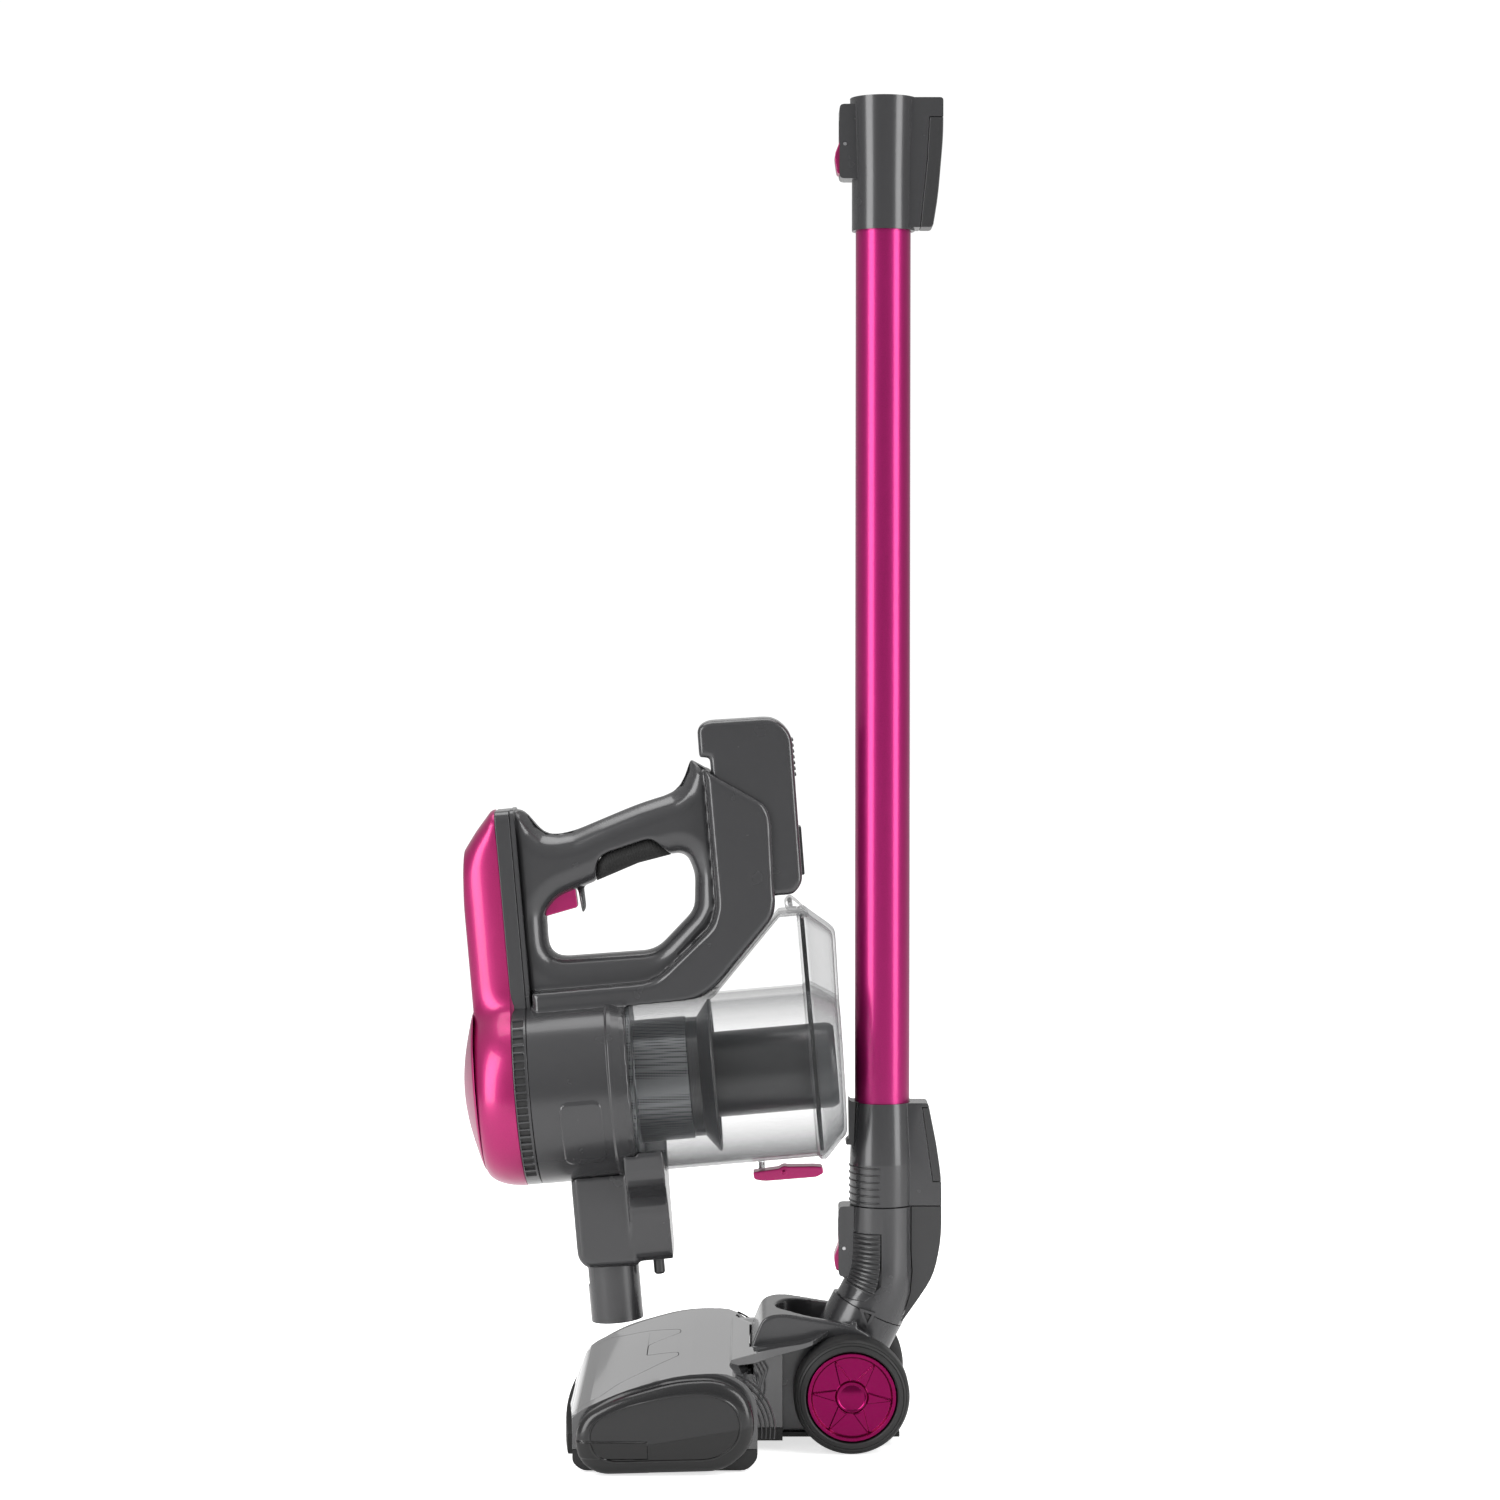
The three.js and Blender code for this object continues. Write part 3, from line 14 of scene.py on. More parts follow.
import bmesh
import bpy
import numpy as np
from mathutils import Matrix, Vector


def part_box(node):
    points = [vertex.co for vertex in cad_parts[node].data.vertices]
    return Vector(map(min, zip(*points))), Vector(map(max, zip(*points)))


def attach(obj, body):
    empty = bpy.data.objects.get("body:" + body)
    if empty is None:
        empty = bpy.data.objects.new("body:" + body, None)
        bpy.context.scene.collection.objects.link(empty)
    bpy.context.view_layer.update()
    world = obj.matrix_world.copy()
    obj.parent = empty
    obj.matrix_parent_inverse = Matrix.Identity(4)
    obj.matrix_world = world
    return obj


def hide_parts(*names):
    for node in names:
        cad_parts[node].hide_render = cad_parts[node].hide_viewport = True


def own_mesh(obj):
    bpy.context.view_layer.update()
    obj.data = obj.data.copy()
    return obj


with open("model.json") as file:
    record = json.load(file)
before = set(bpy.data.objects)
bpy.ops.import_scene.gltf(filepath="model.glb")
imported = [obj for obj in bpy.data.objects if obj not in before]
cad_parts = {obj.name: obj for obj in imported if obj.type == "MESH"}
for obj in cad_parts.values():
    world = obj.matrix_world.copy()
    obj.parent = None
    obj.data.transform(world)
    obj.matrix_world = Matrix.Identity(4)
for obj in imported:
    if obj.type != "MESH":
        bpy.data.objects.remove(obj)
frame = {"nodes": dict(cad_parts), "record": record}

Colour = tuple[float, float, float]
Corners = list[tuple[float, ...]]
Pair = tuple[float, float]
Triple = tuple[float, float, float]
Surface = tuple[np.ndarray, list]
Socket = bpy.types.NodeSocket
Tree = bpy.types.NodeTree

LOG = logging.getLogger("vacuum")
MM = 0.001
WELD = 2e-6
FLAT = math.radians(0.6)
CIRCLE = 2 * np.pi
WHITE = (1.0, 1.0, 1.0, 1.0)
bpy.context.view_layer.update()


class Slot(str, Enum):
    """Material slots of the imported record."""

    SHELL = "shell_grey"
    TRIM = "trim_dark"
    PINK = "pink_gloss"
    TUBE = "pink_tube"
    RUBBER = "soft_rubber"
    TREAD = "tread"
    CLEAR = "clear_plastic"
    SHROUD = "shroud_metal"
    STEEL = "bare_steel"
    CAN = "motor_can"
    BRISTLE = "bristle"


# ---------------------------------------------------------------- nodes
def noise(tree: Tree, place: Socket, scale: float, detail: float) -> Socket:
    """Adds a noise.

    Args:
        tree: The node tree to add to.
        place: The coordinates to read.
        scale: How many blotches fit in a metre.
        detail: The number of octaves.

    Returns:
        The noise's factor.
    """
    made = tree.nodes.new("ShaderNodeTexNoise")
    made.inputs["Scale"].default_value = scale
    made.inputs["Detail"].default_value = detail
    tree.links.new(place, made.inputs["Vector"])
    return made.outputs["Fac"]


def cells(tree: Tree, place: Socket, scale: float, disorder: float = 1.0) -> Socket:
    """Adds a cell pattern.

    Args:
        tree: The node tree to add to.
        place: The coordinates to read.
        scale: How many cells fit in a metre.
        disorder: 0 for regular cells and 1 for scattered ones.

    Returns:
        The distance to the middle of the nearest cell.
    """
    made = tree.nodes.new("ShaderNodeTexVoronoi")
    made.inputs["Scale"].default_value = scale
    made.inputs["Randomness"].default_value = disorder
    tree.links.new(place, made.inputs["Vector"])
    return made.outputs["Distance"]


def remap(tree: Tree, value: Socket, to: Pair, start: Pair = (0.0, 1.0)) -> Socket:
    """A value carried from the start range to another one, and held at its ends.

    Args:
        tree: The node tree to add to.
        value: The value to carry.
        to: What the ends of the start range become.
        start: The range that the value is read in.

    Returns:
        The carried value.
    """
    made = tree.nodes.new("ShaderNodeMapRange")
    for name, number in zip(("From Min", "From Max", "To Min", "To Max"), (*start, *to)):
        made.inputs[name].default_value = number
    tree.links.new(value, made.inputs["Value"])
    return made.outputs["Result"]


def mixed(tree: Tree, factor: Socket, first: Socket | Colour, second: Colour) -> Socket:
    """Adds a mix of two colours.

    Args:
        tree: The node tree to add to.
        factor: 0 for the first colour and 1 for the second.
        first: A colour, or the socket that gives it.
        second: The other colour.

    Returns:
        The mixed colour.
    """
    made = tree.nodes.new("ShaderNodeMix")
    made.data_type = "RGBA"
    if isinstance(first, tuple):
        made.inputs["A"].default_value = (*first, 1.0)
    else:
        tree.links.new(first, made.inputs["A"])
    made.inputs["B"].default_value = (*second, 1.0)
    tree.links.new(factor, made.inputs["Factor"])
    return made.outputs["Result"]


def scaled(tree: Tree, colour: Socket, factor: Socket) -> Socket:
    """A colour times a factor."""
    made = tree.nodes.new("ShaderNodeVectorMath")
    made.operation = "SCALE"
    tree.links.new(colour, made.inputs[0])
    tree.links.new(factor, made.inputs["Scale"])
    return made.outputs["Vector"]


def sum_node(tree: Tree, kind: str, *values: Socket | float) -> Socket:
    """Adds one arithmetic node.

    Args:
        tree: The node tree to add to.
        kind: What it does.
        values: The numbers and sockets that it works on, in order.

    Returns:
        The node's result.
    """
    made = tree.nodes.new("ShaderNodeMath")
    made.operation = kind
    for socket, value in zip(made.inputs, values):
        if isinstance(value, float):
            socket.default_value = value
        else:
            tree.links.new(value, socket)
    return made.outputs["Value"]


# ---------------------------------------------------------------- finishes
@dataclass(frozen=True)
class Finish:
    """A surface whose colour clouds slowly, whose gloss varies and whose skin has a fine grain."""

    name: str
    slot: Slot
    light: Colour
    dark: Colour
    roughness: Pair
    metallic: float = 0.0
    coat: float = 0.0
    coat_roughness: float = 0.06
    ior: float = 1.5
    cloud: float = 14.0
    smears: float = 5.0
    grain: float = 1400.0
    grain_height: float = 0.012
    grain_strength: float = 0.4

    def material(self) -> bpy.types.Material:
        """Makes the material once and returns it.

        Returns:
            The node material of this finish.
        """
        known = bpy.data.materials.get(self.name)
        if known is not None:
            return known
        made = bpy.data.materials.new(self.name)
        made.use_nodes = True
        tree = made.node_tree
        shader = tree.nodes["Principled BSDF"]
        for name, number in (("Metallic", self.metallic), ("Coat Weight", self.coat),
                             ("Coat Roughness", self.coat_roughness), ("IOR", self.ior)):
            shader.inputs[name].default_value = number
        place = tree.nodes.new("ShaderNodeTexCoord").outputs["Object"]
        tint = mixed(tree, noise(tree, place, self.cloud, 3.0), self.dark, self.light)
        tree.links.new(self.colour(tree, place, tint), shader.inputs["Base Color"])
        gloss = remap(tree, noise(tree, place, self.cloud * self.smears, 4.0), self.roughness)
        tree.links.new(gloss, shader.inputs["Roughness"])
        grain = tree.nodes.new("ShaderNodeBump")
        grain.inputs["Distance"].default_value = self.grain_height * MM
        grain.inputs["Strength"].default_value = self.grain_strength
        tree.links.new(noise(tree, place, self.grain, 2.0), grain.inputs["Height"])
        tree.links.new(grain.outputs["Normal"], shader.inputs["Normal"])
        self.extra(tree, shader)
        return made

    def colour(self, tree: Tree, place: Socket, tint: Socket) -> Socket:
        """The base colour; a plain finish has the clouded tint."""
        return tint

    def extra(self, tree: Tree, shader: bpy.types.Node) -> None:
        """Adds what only one kind of finish has; a plain one has nothing more."""


@dataclass(frozen=True)
class MetallicPaint(Finish):
    """Paint with fine metal flakes under a clear coat."""

    flake: float = 2600.0
    flake_edge: float = 0.8
    spark: Pair = (1.16, 0.9)

    def colour(self, tree: Tree, place: Socket, tint: Socket) -> Socket:
        """Lightens the tint in the middle of each flake of a cell pattern."""
        flakes = cells(tree, place, self.flake)
        return scaled(tree, tint, remap(tree, flakes, self.spark, (0.0, self.flake_edge)))


@dataclass(frozen=True)
class ClearPlastic(Finish):
    """Clear wall: nearly open when faced, denser and glossier at a glancing angle."""

    faced: float = 0.03
    glancing: float = 0.9
    blend: float = 0.3

    def extra(self, tree: Tree, shader: bpy.types.Node) -> None:
        """Sets the alpha by how far the surface turns away."""
        turn = tree.nodes.new("ShaderNodeLayerWeight")
        turn.inputs["Blend"].default_value = self.blend
        dense = remap(tree, turn.outputs["Facing"], (self.faced, self.glancing))
        tree.links.new(dense, shader.inputs["Alpha"])


@dataclass(frozen=True)
class Perforated(Finish):
    """Metal sheet with rows of fine round holes, drawn as a pattern; the dark in each hole is painted shade
    standing in for the shaded inside seen through it.
    """

    pitch: float = 620.0
    rim: Pair = (0.3, 0.42)
    # inside: how much of the tint is left in the middle of each hole, where the dark is painted shade.
    inside: float = 0.12

    def colour(self, tree: Tree, place: Socket, tint: Socket) -> Socket:
        """Darkens the middle of each cell of a regular cell pattern: painted shade in each hole."""
        holes = cells(tree, place, self.pitch, 0.0)
        return scaled(tree, tint, remap(tree, holes, (self.inside, 1.0), self.rim))


@dataclass(frozen=True)
class TwoTone(Finish):
    """Moulding in two colours: black below a sloping parting line and below the top of a rubber pad."""

    slope: float = 0.17
    level: float = 0.0249
    pad_end: float = -0.031
    pad_top: float = 0.0218
    lower: Colour = (0.002, 0.002, 0.002)

    def colour(self, tree: Tree, place: Socket, tint: Socket) -> Socket:
        """Picks the lower colour where z < slope * x + level, or where x < pad_end and z < pad_top."""
        split = tree.nodes.new("ShaderNodeSeparateXYZ")
        tree.links.new(place, split.inputs["Vector"])
        x, z = split.outputs["X"], split.outputs["Z"]
        below = sum_node(tree, "LESS_THAN", z, sum_node(tree, "MULTIPLY_ADD", x, self.slope, self.level))
        ahead = sum_node(tree, "LESS_THAN", x, self.pad_end)
        under = sum_node(tree, "LESS_THAN", z, self.pad_top)
        either = sum_node(tree, "MAXIMUM", below, sum_node(tree, "MULTIPLY", ahead, under))
        return mixed(tree, either, tint, self.lower)


@dataclass(frozen=True)
class PaleFloor(Finish):
    """Floor that is lit from below, so that it stays as light as the air round the machine."""

    glow: float = 0.7

    def extra(self, tree: Tree, shader: bpy.types.Node) -> None:
        """Adds the glow to what is seen of the floor, and keeps it out of the light on the machine."""
        shader.inputs["Emission Color"].default_value = WHITE
        seen = tree.nodes.new("ShaderNodeLightPath").outputs["Is Camera Ray"]
        tree.links.new(sum_node(tree, "MULTIPLY", seen, self.glow), shader.inputs["Emission Strength"])


SHELL = Finish("gunmetal_shell", Slot.SHELL, (0.042, 0.042, 0.044), (0.035, 0.035, 0.037), (0.24, 0.29),
               metallic=0.25, coat=0.45, coat_roughness=0.12, grain_height=0.006)
GLOSS = Finish("polished_shell", Slot.SHELL, (0.05, 0.05, 0.052), (0.042, 0.042, 0.044), (0.07, 0.1),
               metallic=0.1, coat=1.0, coat_roughness=0.03, ior=1.6, grain_height=0.004)
TRIM = Finish("dark_trim", Slot.TRIM, (0.026, 0.026, 0.027), (0.021, 0.021, 0.022), (0.3, 0.36), coat=0.2,
              coat_roughness=0.15)
TWO_TONE = TwoTone("two_tone_cap", Slot.TRIM, (0.012, 0.012, 0.0125), (0.01, 0.01, 0.0105), (0.24, 0.28),
                   coat=0.3, coat_roughness=0.1, ior=1.42, grain_height=0.004)
# INNER is near black. Behind the vent slots it serves as painted shade, and the head base is dressed in it
# too.
INNER = Finish("unlit_black", Slot.TRIM, (0.012, 0.012, 0.012), (0.008, 0.008, 0.008), (0.45, 0.55))
HUB = MetallicPaint("magenta_hub", Slot.PINK, (0.22, 0.003, 0.07), (0.19, 0.002, 0.058), (0.2, 0.25),
                    metallic=1.0, coat=0.12, grain_height=0.004)
PINK = MetallicPaint("magenta_paint", Slot.PINK, (0.4, 0.014, 0.13), (0.35, 0.012, 0.11), (0.3, 0.34),
                     metallic=0.65, coat=0.35, coat_roughness=0.05, grain_height=0.004)
TUBE = MetallicPaint("magenta_tube", Slot.TUBE, (0.38, 0.008, 0.135), (0.34, 0.007, 0.12), (0.3, 0.34),
                     metallic=0.75, coat=0.3, coat_roughness=0.1, grain_height=0.004)
RUBBER = Finish("soft_rubber", Slot.RUBBER, (0.011, 0.011, 0.011), (0.008, 0.008, 0.008), (0.55, 0.65),
                grain=2200.0, grain_height=0.03)
TREAD = Finish("tyre_rubber", Slot.TREAD, (0.01, 0.01, 0.01), (0.007, 0.007, 0.007), (0.5, 0.6),
               grain=1800.0, grain_height=0.03)
CLEAR = ClearPlastic("clear_wall", Slot.CLEAR, (0.13, 0.135, 0.14), (0.1, 0.105, 0.11), (0.03, 0.06),
                     coat_roughness=0.02, ior=1.35, grain_height=0.002)
SHROUD = Perforated("perforated_shroud", Slot.SHROUD, (0.2, 0.205, 0.21), (0.14, 0.145, 0.15), (0.3, 0.42),
                    metallic=0.8)
STEEL = Finish("bright_steel", Slot.STEEL, (0.6, 0.6, 0.61), (0.5, 0.5, 0.51), (0.16, 0.28), metallic=1.0)
CAN = Finish("moulded_can", Slot.CAN, (0.17, 0.17, 0.18), (0.12, 0.12, 0.13), (0.35, 0.5), metallic=0.4)
BRISTLE = Finish("nylon_bristle", Slot.BRISTLE, (0.05, 0.055, 0.075), (0.02, 0.022, 0.03), (0.6, 0.8),
                 grain=3000.0, grain_height=0.2)
FINISH_OF = {f.slot: f for f in (SHELL, TRIM, PINK, TUBE, RUBBER, TREAD, CLEAR, SHROUD, STEEL, CAN, BRISTLE)}

BEHAVIOUR = frame["record"]["behaviour"]
BODY_OF = {node: body for body, nodes in BEHAVIOUR["bodies"].items() for node in nodes}
SLOT_OF = {part["node"]: Slot(part["material_slot"]) for part in frame["record"]["subparts"]}


# ---------------------------------------------------------------- surfaces
def span(node: str) -> tuple[np.ndarray, np.ndarray]:
    """Lowest and highest corner of a CAD node at rest, in millimetres."""
    low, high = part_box(node)
    return np.array(low) / MM, np.array(high) / MM


def rounded(corners: Corners, steps: int = 8) -> np.ndarray:
    """Closed outline through corners; a third number rounds that corner with a quadratic curve.

    Args:
        corners: (x, y) or (x, y, reach) of each corner in order.
        steps: Points on each rounded corner.

    Returns:
        The outline's points, one row each.
    """
    share = np.linspace(0, 1, steps)[:, None]
    points = np.array([c[:2] for c in corners], float)
    runs = []
    for i, corner in enumerate(corners):
        here, before, after = points[i], points[i - 1], points[(i + 1) % len(points)]
        if len(corner) == 2:
            runs.append(here[None, :])
            continue
        back, on = before - here, after - here
        reach = min(corner[2], 0.49 * np.hypot(*back), 0.49 * np.hypot(*on))
        enter = here + back / np.hypot(*back) * reach
        leave = here + on / np.hypot(*on) * reach
        runs.append((1 - share) ** 2 * enter + 2 * share * (1 - share) * here + share**2 * leave)
    return np.concatenate(runs)


def resampled(outline: np.ndarray, count: int) -> np.ndarray:
    """The same closed outline as equally spaced points, measured along its length.

    Args:
        outline: The outline's points.
        count: How many points to give back.

    Returns:
        The equally spaced points.
    """
    loop = np.vstack([outline, outline[:1]])
    along = np.concatenate([[0], np.cumsum(np.hypot(*np.diff(loop, axis=0).T))])
    stations = np.linspace(0, along[-1], count, endpoint=False)
    return np.column_stack([np.interp(stations, along, loop[:, k]) for k in (0, 1)])


def distance(points: np.ndarray, line: np.ndarray) -> np.ndarray:
    """Shortest distance from each point to a broken line, taken over its segments one after another.

    Args:
        points: Points of two coordinates.
        line: The corners of the broken line.

    Returns:
        One distance for each point.
    """
    best = np.full(len(points), np.inf)
    for a, b in zip(line[:-1], line[1:]):
        run = b - a
        share = np.clip((points - a) @ run / max(run @ run, 1e-9), 0, 1)
        best = np.minimum(best, np.hypot(*(points - a - share[:, None] * run).T))
    return best


def smooth(low: float, high: float, value: np.ndarray) -> np.ndarray:
    """Rises from 0 at low to 1 at high with flat ends: 3t^2 - 2t^3."""
    t = np.clip((value - low) / (high - low), 0, 1)
    return t * t * (3 - 2 * t)


def skin(rings: np.ndarray, ring_loop: bool = False) -> Surface:
    """A closed surface through rings of points.

    Args:
        rings: Points as (ring, point, xyz); each ring closes on itself.
        ring_loop: True when the last ring joins the first, as in a tube with a wall.

    Returns:
        The points and the faces. The ends are closed by fans about their middles unless ring_loop is set.
    """
    count, width, _ = rings.shape
    starts = np.arange(count if ring_loop else count - 1)[:, None] * width
    i = np.arange(width)[None, :]
    j = (i + 1) % width
    ahead = (starts + width) % (count * width)
    quads = np.stack([starts + i, starts + j, ahead + j, ahead + i], -1).reshape(-1, 4).tolist()
    points = rings.reshape(-1, 3)
    if ring_loop:
        return points, quads
    middles = np.stack([rings[0].mean(0), rings[-1].mean(0)])
    first, last = len(points), len(points) + 1
    a, b = np.arange(width), (np.arange(width) + 1) % width
    near = np.stack([b, a, np.full(width, first)], -1).tolist()
    far = np.stack([(count - 1) * width + a, (count - 1) * width + b, np.full(width, last)], -1).tolist()
    return np.vstack([points, middles]), quads + near + far


def joined(parts: list[Surface]) -> Surface:
    """Several surfaces as one; each one's faces count on from the points before it."""
    starts = np.cumsum([0] + [len(points) for points, _ in parts]).tolist()
    faces = [[i + start for i in face] for (_, own), start in zip(parts, starts) for face in own]
    return np.vstack([points for points, _ in parts]), faces


def stationed(u: np.ndarray, rings: np.ndarray) -> np.ndarray:
    """Rings of (across, up) set at their own u, as points of (u, across, up)."""
    return np.stack([np.broadcast_to(u[:, None], rings.shape[:2]), rings[..., 0], rings[..., 1]], -1)


def turned(profile: np.ndarray, axis: str, centre: Triple, closed: bool = True,
           segments: int = 96) -> Surface:
    """A profile of (radius, height) carried round an axis through centre.

    Args:
        profile: Radius and height of each point, in order.
        axis: X, Y or Z, along which height is measured.
        centre: A point on the axis, whose own height is added.
        closed: True for a ring profile, which closes on itself; False when it starts and ends on the axis.
        segments: Steps round the axis.

    Returns:
        The points and the faces.
    """
    profile = np.asarray(profile, float)
    turn = np.linspace(0, CIRCLE, segments, endpoint=False)
    across = profile[:, 0:1] * np.cos(turn)
    up = profile[:, 0:1] * np.sin(turn)
    height = np.broadcast_to(profile[:, 1:2], across.shape)
    order = {"X": (height, across, up), "Y": (across, height, up), "Z": (across, up, height)}[axis]
    return skin(np.stack(order, -1) + np.array(centre), ring_loop=closed)


def slab(outline: np.ndarray, low: float, high: float, edge: float, steps: int = 5) -> np.ndarray:
    """Rings of an outline in X and Z carried along Y, with both rims rounded.

    The outline is drawn in by edge * (1 - sin a) while Y runs in by edge * (1 - cos a), over a quarter turn.

    Args:
        outline: The outline's points.
        low: Where it starts.
        high: Where it ends.
        edge: Radius of the rims.
        steps: Rings in each rim.

    Returns:
        Points as (ring, point, xyz).
    """
    after = np.roll(outline, -1, 0) - outline
    before = outline - np.roll(outline, 1, 0)
    run = after / np.hypot(*after.T)[:, None] + before / np.hypot(*before.T)[:, None]
    run /= np.maximum(np.hypot(*run.T), 1e-9)[:, None]
    area = np.sum(outline[:, 0] * np.roll(outline[:, 1], -1) - np.roll(outline[:, 0], -1) * outline[:, 1])
    inward = np.column_stack([-run[:, 1], run[:, 0]]) * np.sign(area)
    angle = np.linspace(0, np.pi / 2, steps)
    shrink = np.concatenate([edge * (1 - np.sin(angle)), edge * (1 - np.sin(angle[::-1]))])
    place = np.concatenate([low + edge * (1 - np.cos(angle)), high - edge * (1 - np.cos(angle[::-1]))])
    flat = outline[None] + inward[None] * shrink[:, None, None]
    return np.stack([flat[..., 0], np.broadcast_to(place[:, None], flat.shape[:2]), flat[..., 1]], -1)


def finish_piece(name: str, mesh: bpy.types.Mesh, finish: Finish, body: str, replaces: tuple[str, ...] = (),
                 sharp: float = 38.0) -> bpy.types.Object:
    """Links a mesh as a piece with shading, material and body, and hides the CAD nodes it stands for.

    Args:
        name: The piece's name.
        mesh: Its mesh, in metres.
        finish: What it is dressed in.
        body: The CAD body it moves with.
        replaces: CAD nodes that it stands for.
        sharp: Edges that turn more than this many degrees stay crisp.

    Returns:
        The piece.
    """
    mesh.polygons.foreach_set("use_smooth", np.ones(len(mesh.polygons), bool))
    mesh.set_sharp_from_angle(angle=math.radians(sharp))
    mesh.materials.clear()
    mesh.materials.append(finish.material())
    piece = bpy.data.objects.new(name, mesh)
    bpy.context.scene.collection.objects.link(piece)
    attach(piece, body)
    if replaces:
        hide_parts(*replaces)
    LOG.info("%s: %d faces", name, len(mesh.polygons))
    return piece


def surface_piece(name: str, surface: Surface, finish: Finish, body: str,
                  replaces: tuple[str, ...] = (), sharp: float = 38.0) -> bpy.types.Object:
    """Builds a piece from a surface, with doubles merged and faces outwards.

    Args:
        name: The piece's name.
        surface: Its points in millimetres and its faces.
        finish: What it is dressed in.
        body: The CAD body it moves with.
        replaces: CAD nodes that it stands for.
        sharp: Edges that turn more than this many degrees stay crisp.

    Returns:
        The piece.
    """
    points, faces = surface
    mesh = bpy.data.meshes.new(name)
    mesh.from_pydata((points * MM).tolist(), [], faces)
    shape = bmesh.new()
    shape.from_mesh(mesh)
    bmesh.ops.remove_doubles(shape, verts=shape.verts, dist=WELD)
    bmesh.ops.recalc_face_normals(shape, faces=shape.faces)
    shape.to_mesh(mesh)
    shape.free()
    return finish_piece(name, mesh, finish, body, replaces, sharp)


def merged(node: str, flats: bool) -> bpy.types.Mesh:
    """A copy of a CAD node's mesh whose loose triangles share their corners.

    Args:
        node: The CAD node.
        flats: True to make each flat one face.

    Returns:
        The copy.
    """
    mesh = frame["nodes"][node].data.copy()
    shape = bmesh.new()
    shape.from_mesh(mesh)
    bmesh.ops.remove_doubles(shape, verts=shape.verts, dist=WELD)
    if flats:
        bmesh.ops.dissolve_limit(shape, angle_limit=FLAT, verts=shape.verts, edges=shape.edges)
    shape.to_mesh(mesh)
    shape.free()
    return mesh


def edged_copy(node: str, finish: Finish, width: float = 0.5, sharp: float = 32.0) -> bpy.types.Object:
    """A CAD piece whose loose triangles are merged, whose flats are made whole and whose rims are rounded.

    Args:
        node: The CAD node that it stands for.
        finish: What it is dressed in.
        width: Width of the rounded rims in millimetres.
        sharp: Edges that turn more than this many degrees are rims.

    Returns:
        The piece.
    """
    piece = finish_piece(f"{node}_made", merged(node, True), finish, BODY_OF[node], (node,), sharp)
    rim = piece.modifiers.new("rim", "BEVEL")
    rim.width = width * MM
    rim.segments = 3
    rim.limit_method = "ANGLE"
    rim.angle_limit = math.radians(sharp)
    rim.harden_normals = True
    return piece


def moulded_copy(node: str, finish: Finish, voxel: float = 1.0, passes: int = 10,
                 reshape: Callable[[np.ndarray], np.ndarray] | None = None) -> bpy.types.Object:
    """A CAD piece with the soft rims of a moulding: rebuilt as an even net, then relaxed.

    Args:
        node: The CAD node that it stands for.
        finish: What it is dressed in.
        voxel: Size of the net in millimetres.
        passes: How many times each point moves half way to the mean of its neighbours.
        reshape: Moves the finished points, given and returned in millimetres.

    Returns:
        The piece.
    """
    rough = bpy.data.objects.new(f"{node}_rough", merged(node, False))
    bpy.context.scene.collection.objects.link(rough)
    net = rough.modifiers.new("net", "REMESH")
    net.mode = "VOXEL"
    net.voxel_size = voxel * MM
    relax = rough.modifiers.new("relax", "SMOOTH")
    relax.factor = 0.5
    relax.iterations = passes
    seen = rough.evaluated_get(bpy.context.evaluated_depsgraph_get())
    soft = bpy.data.meshes.new_from_object(seen)
    bpy.data.objects.remove(rough)
    if reshape is not None:
        points = np.empty(len(soft.vertices) * 3)
        soft.vertices.foreach_get("co", points)
        soft.vertices.foreach_set("co", (reshape(points.reshape(-1, 3) / MM) * MM).ravel())
        soft.update()
    return finish_piece(f"{node}_moulded", soft, finish, BODY_OF[node], (node,), 60.0)


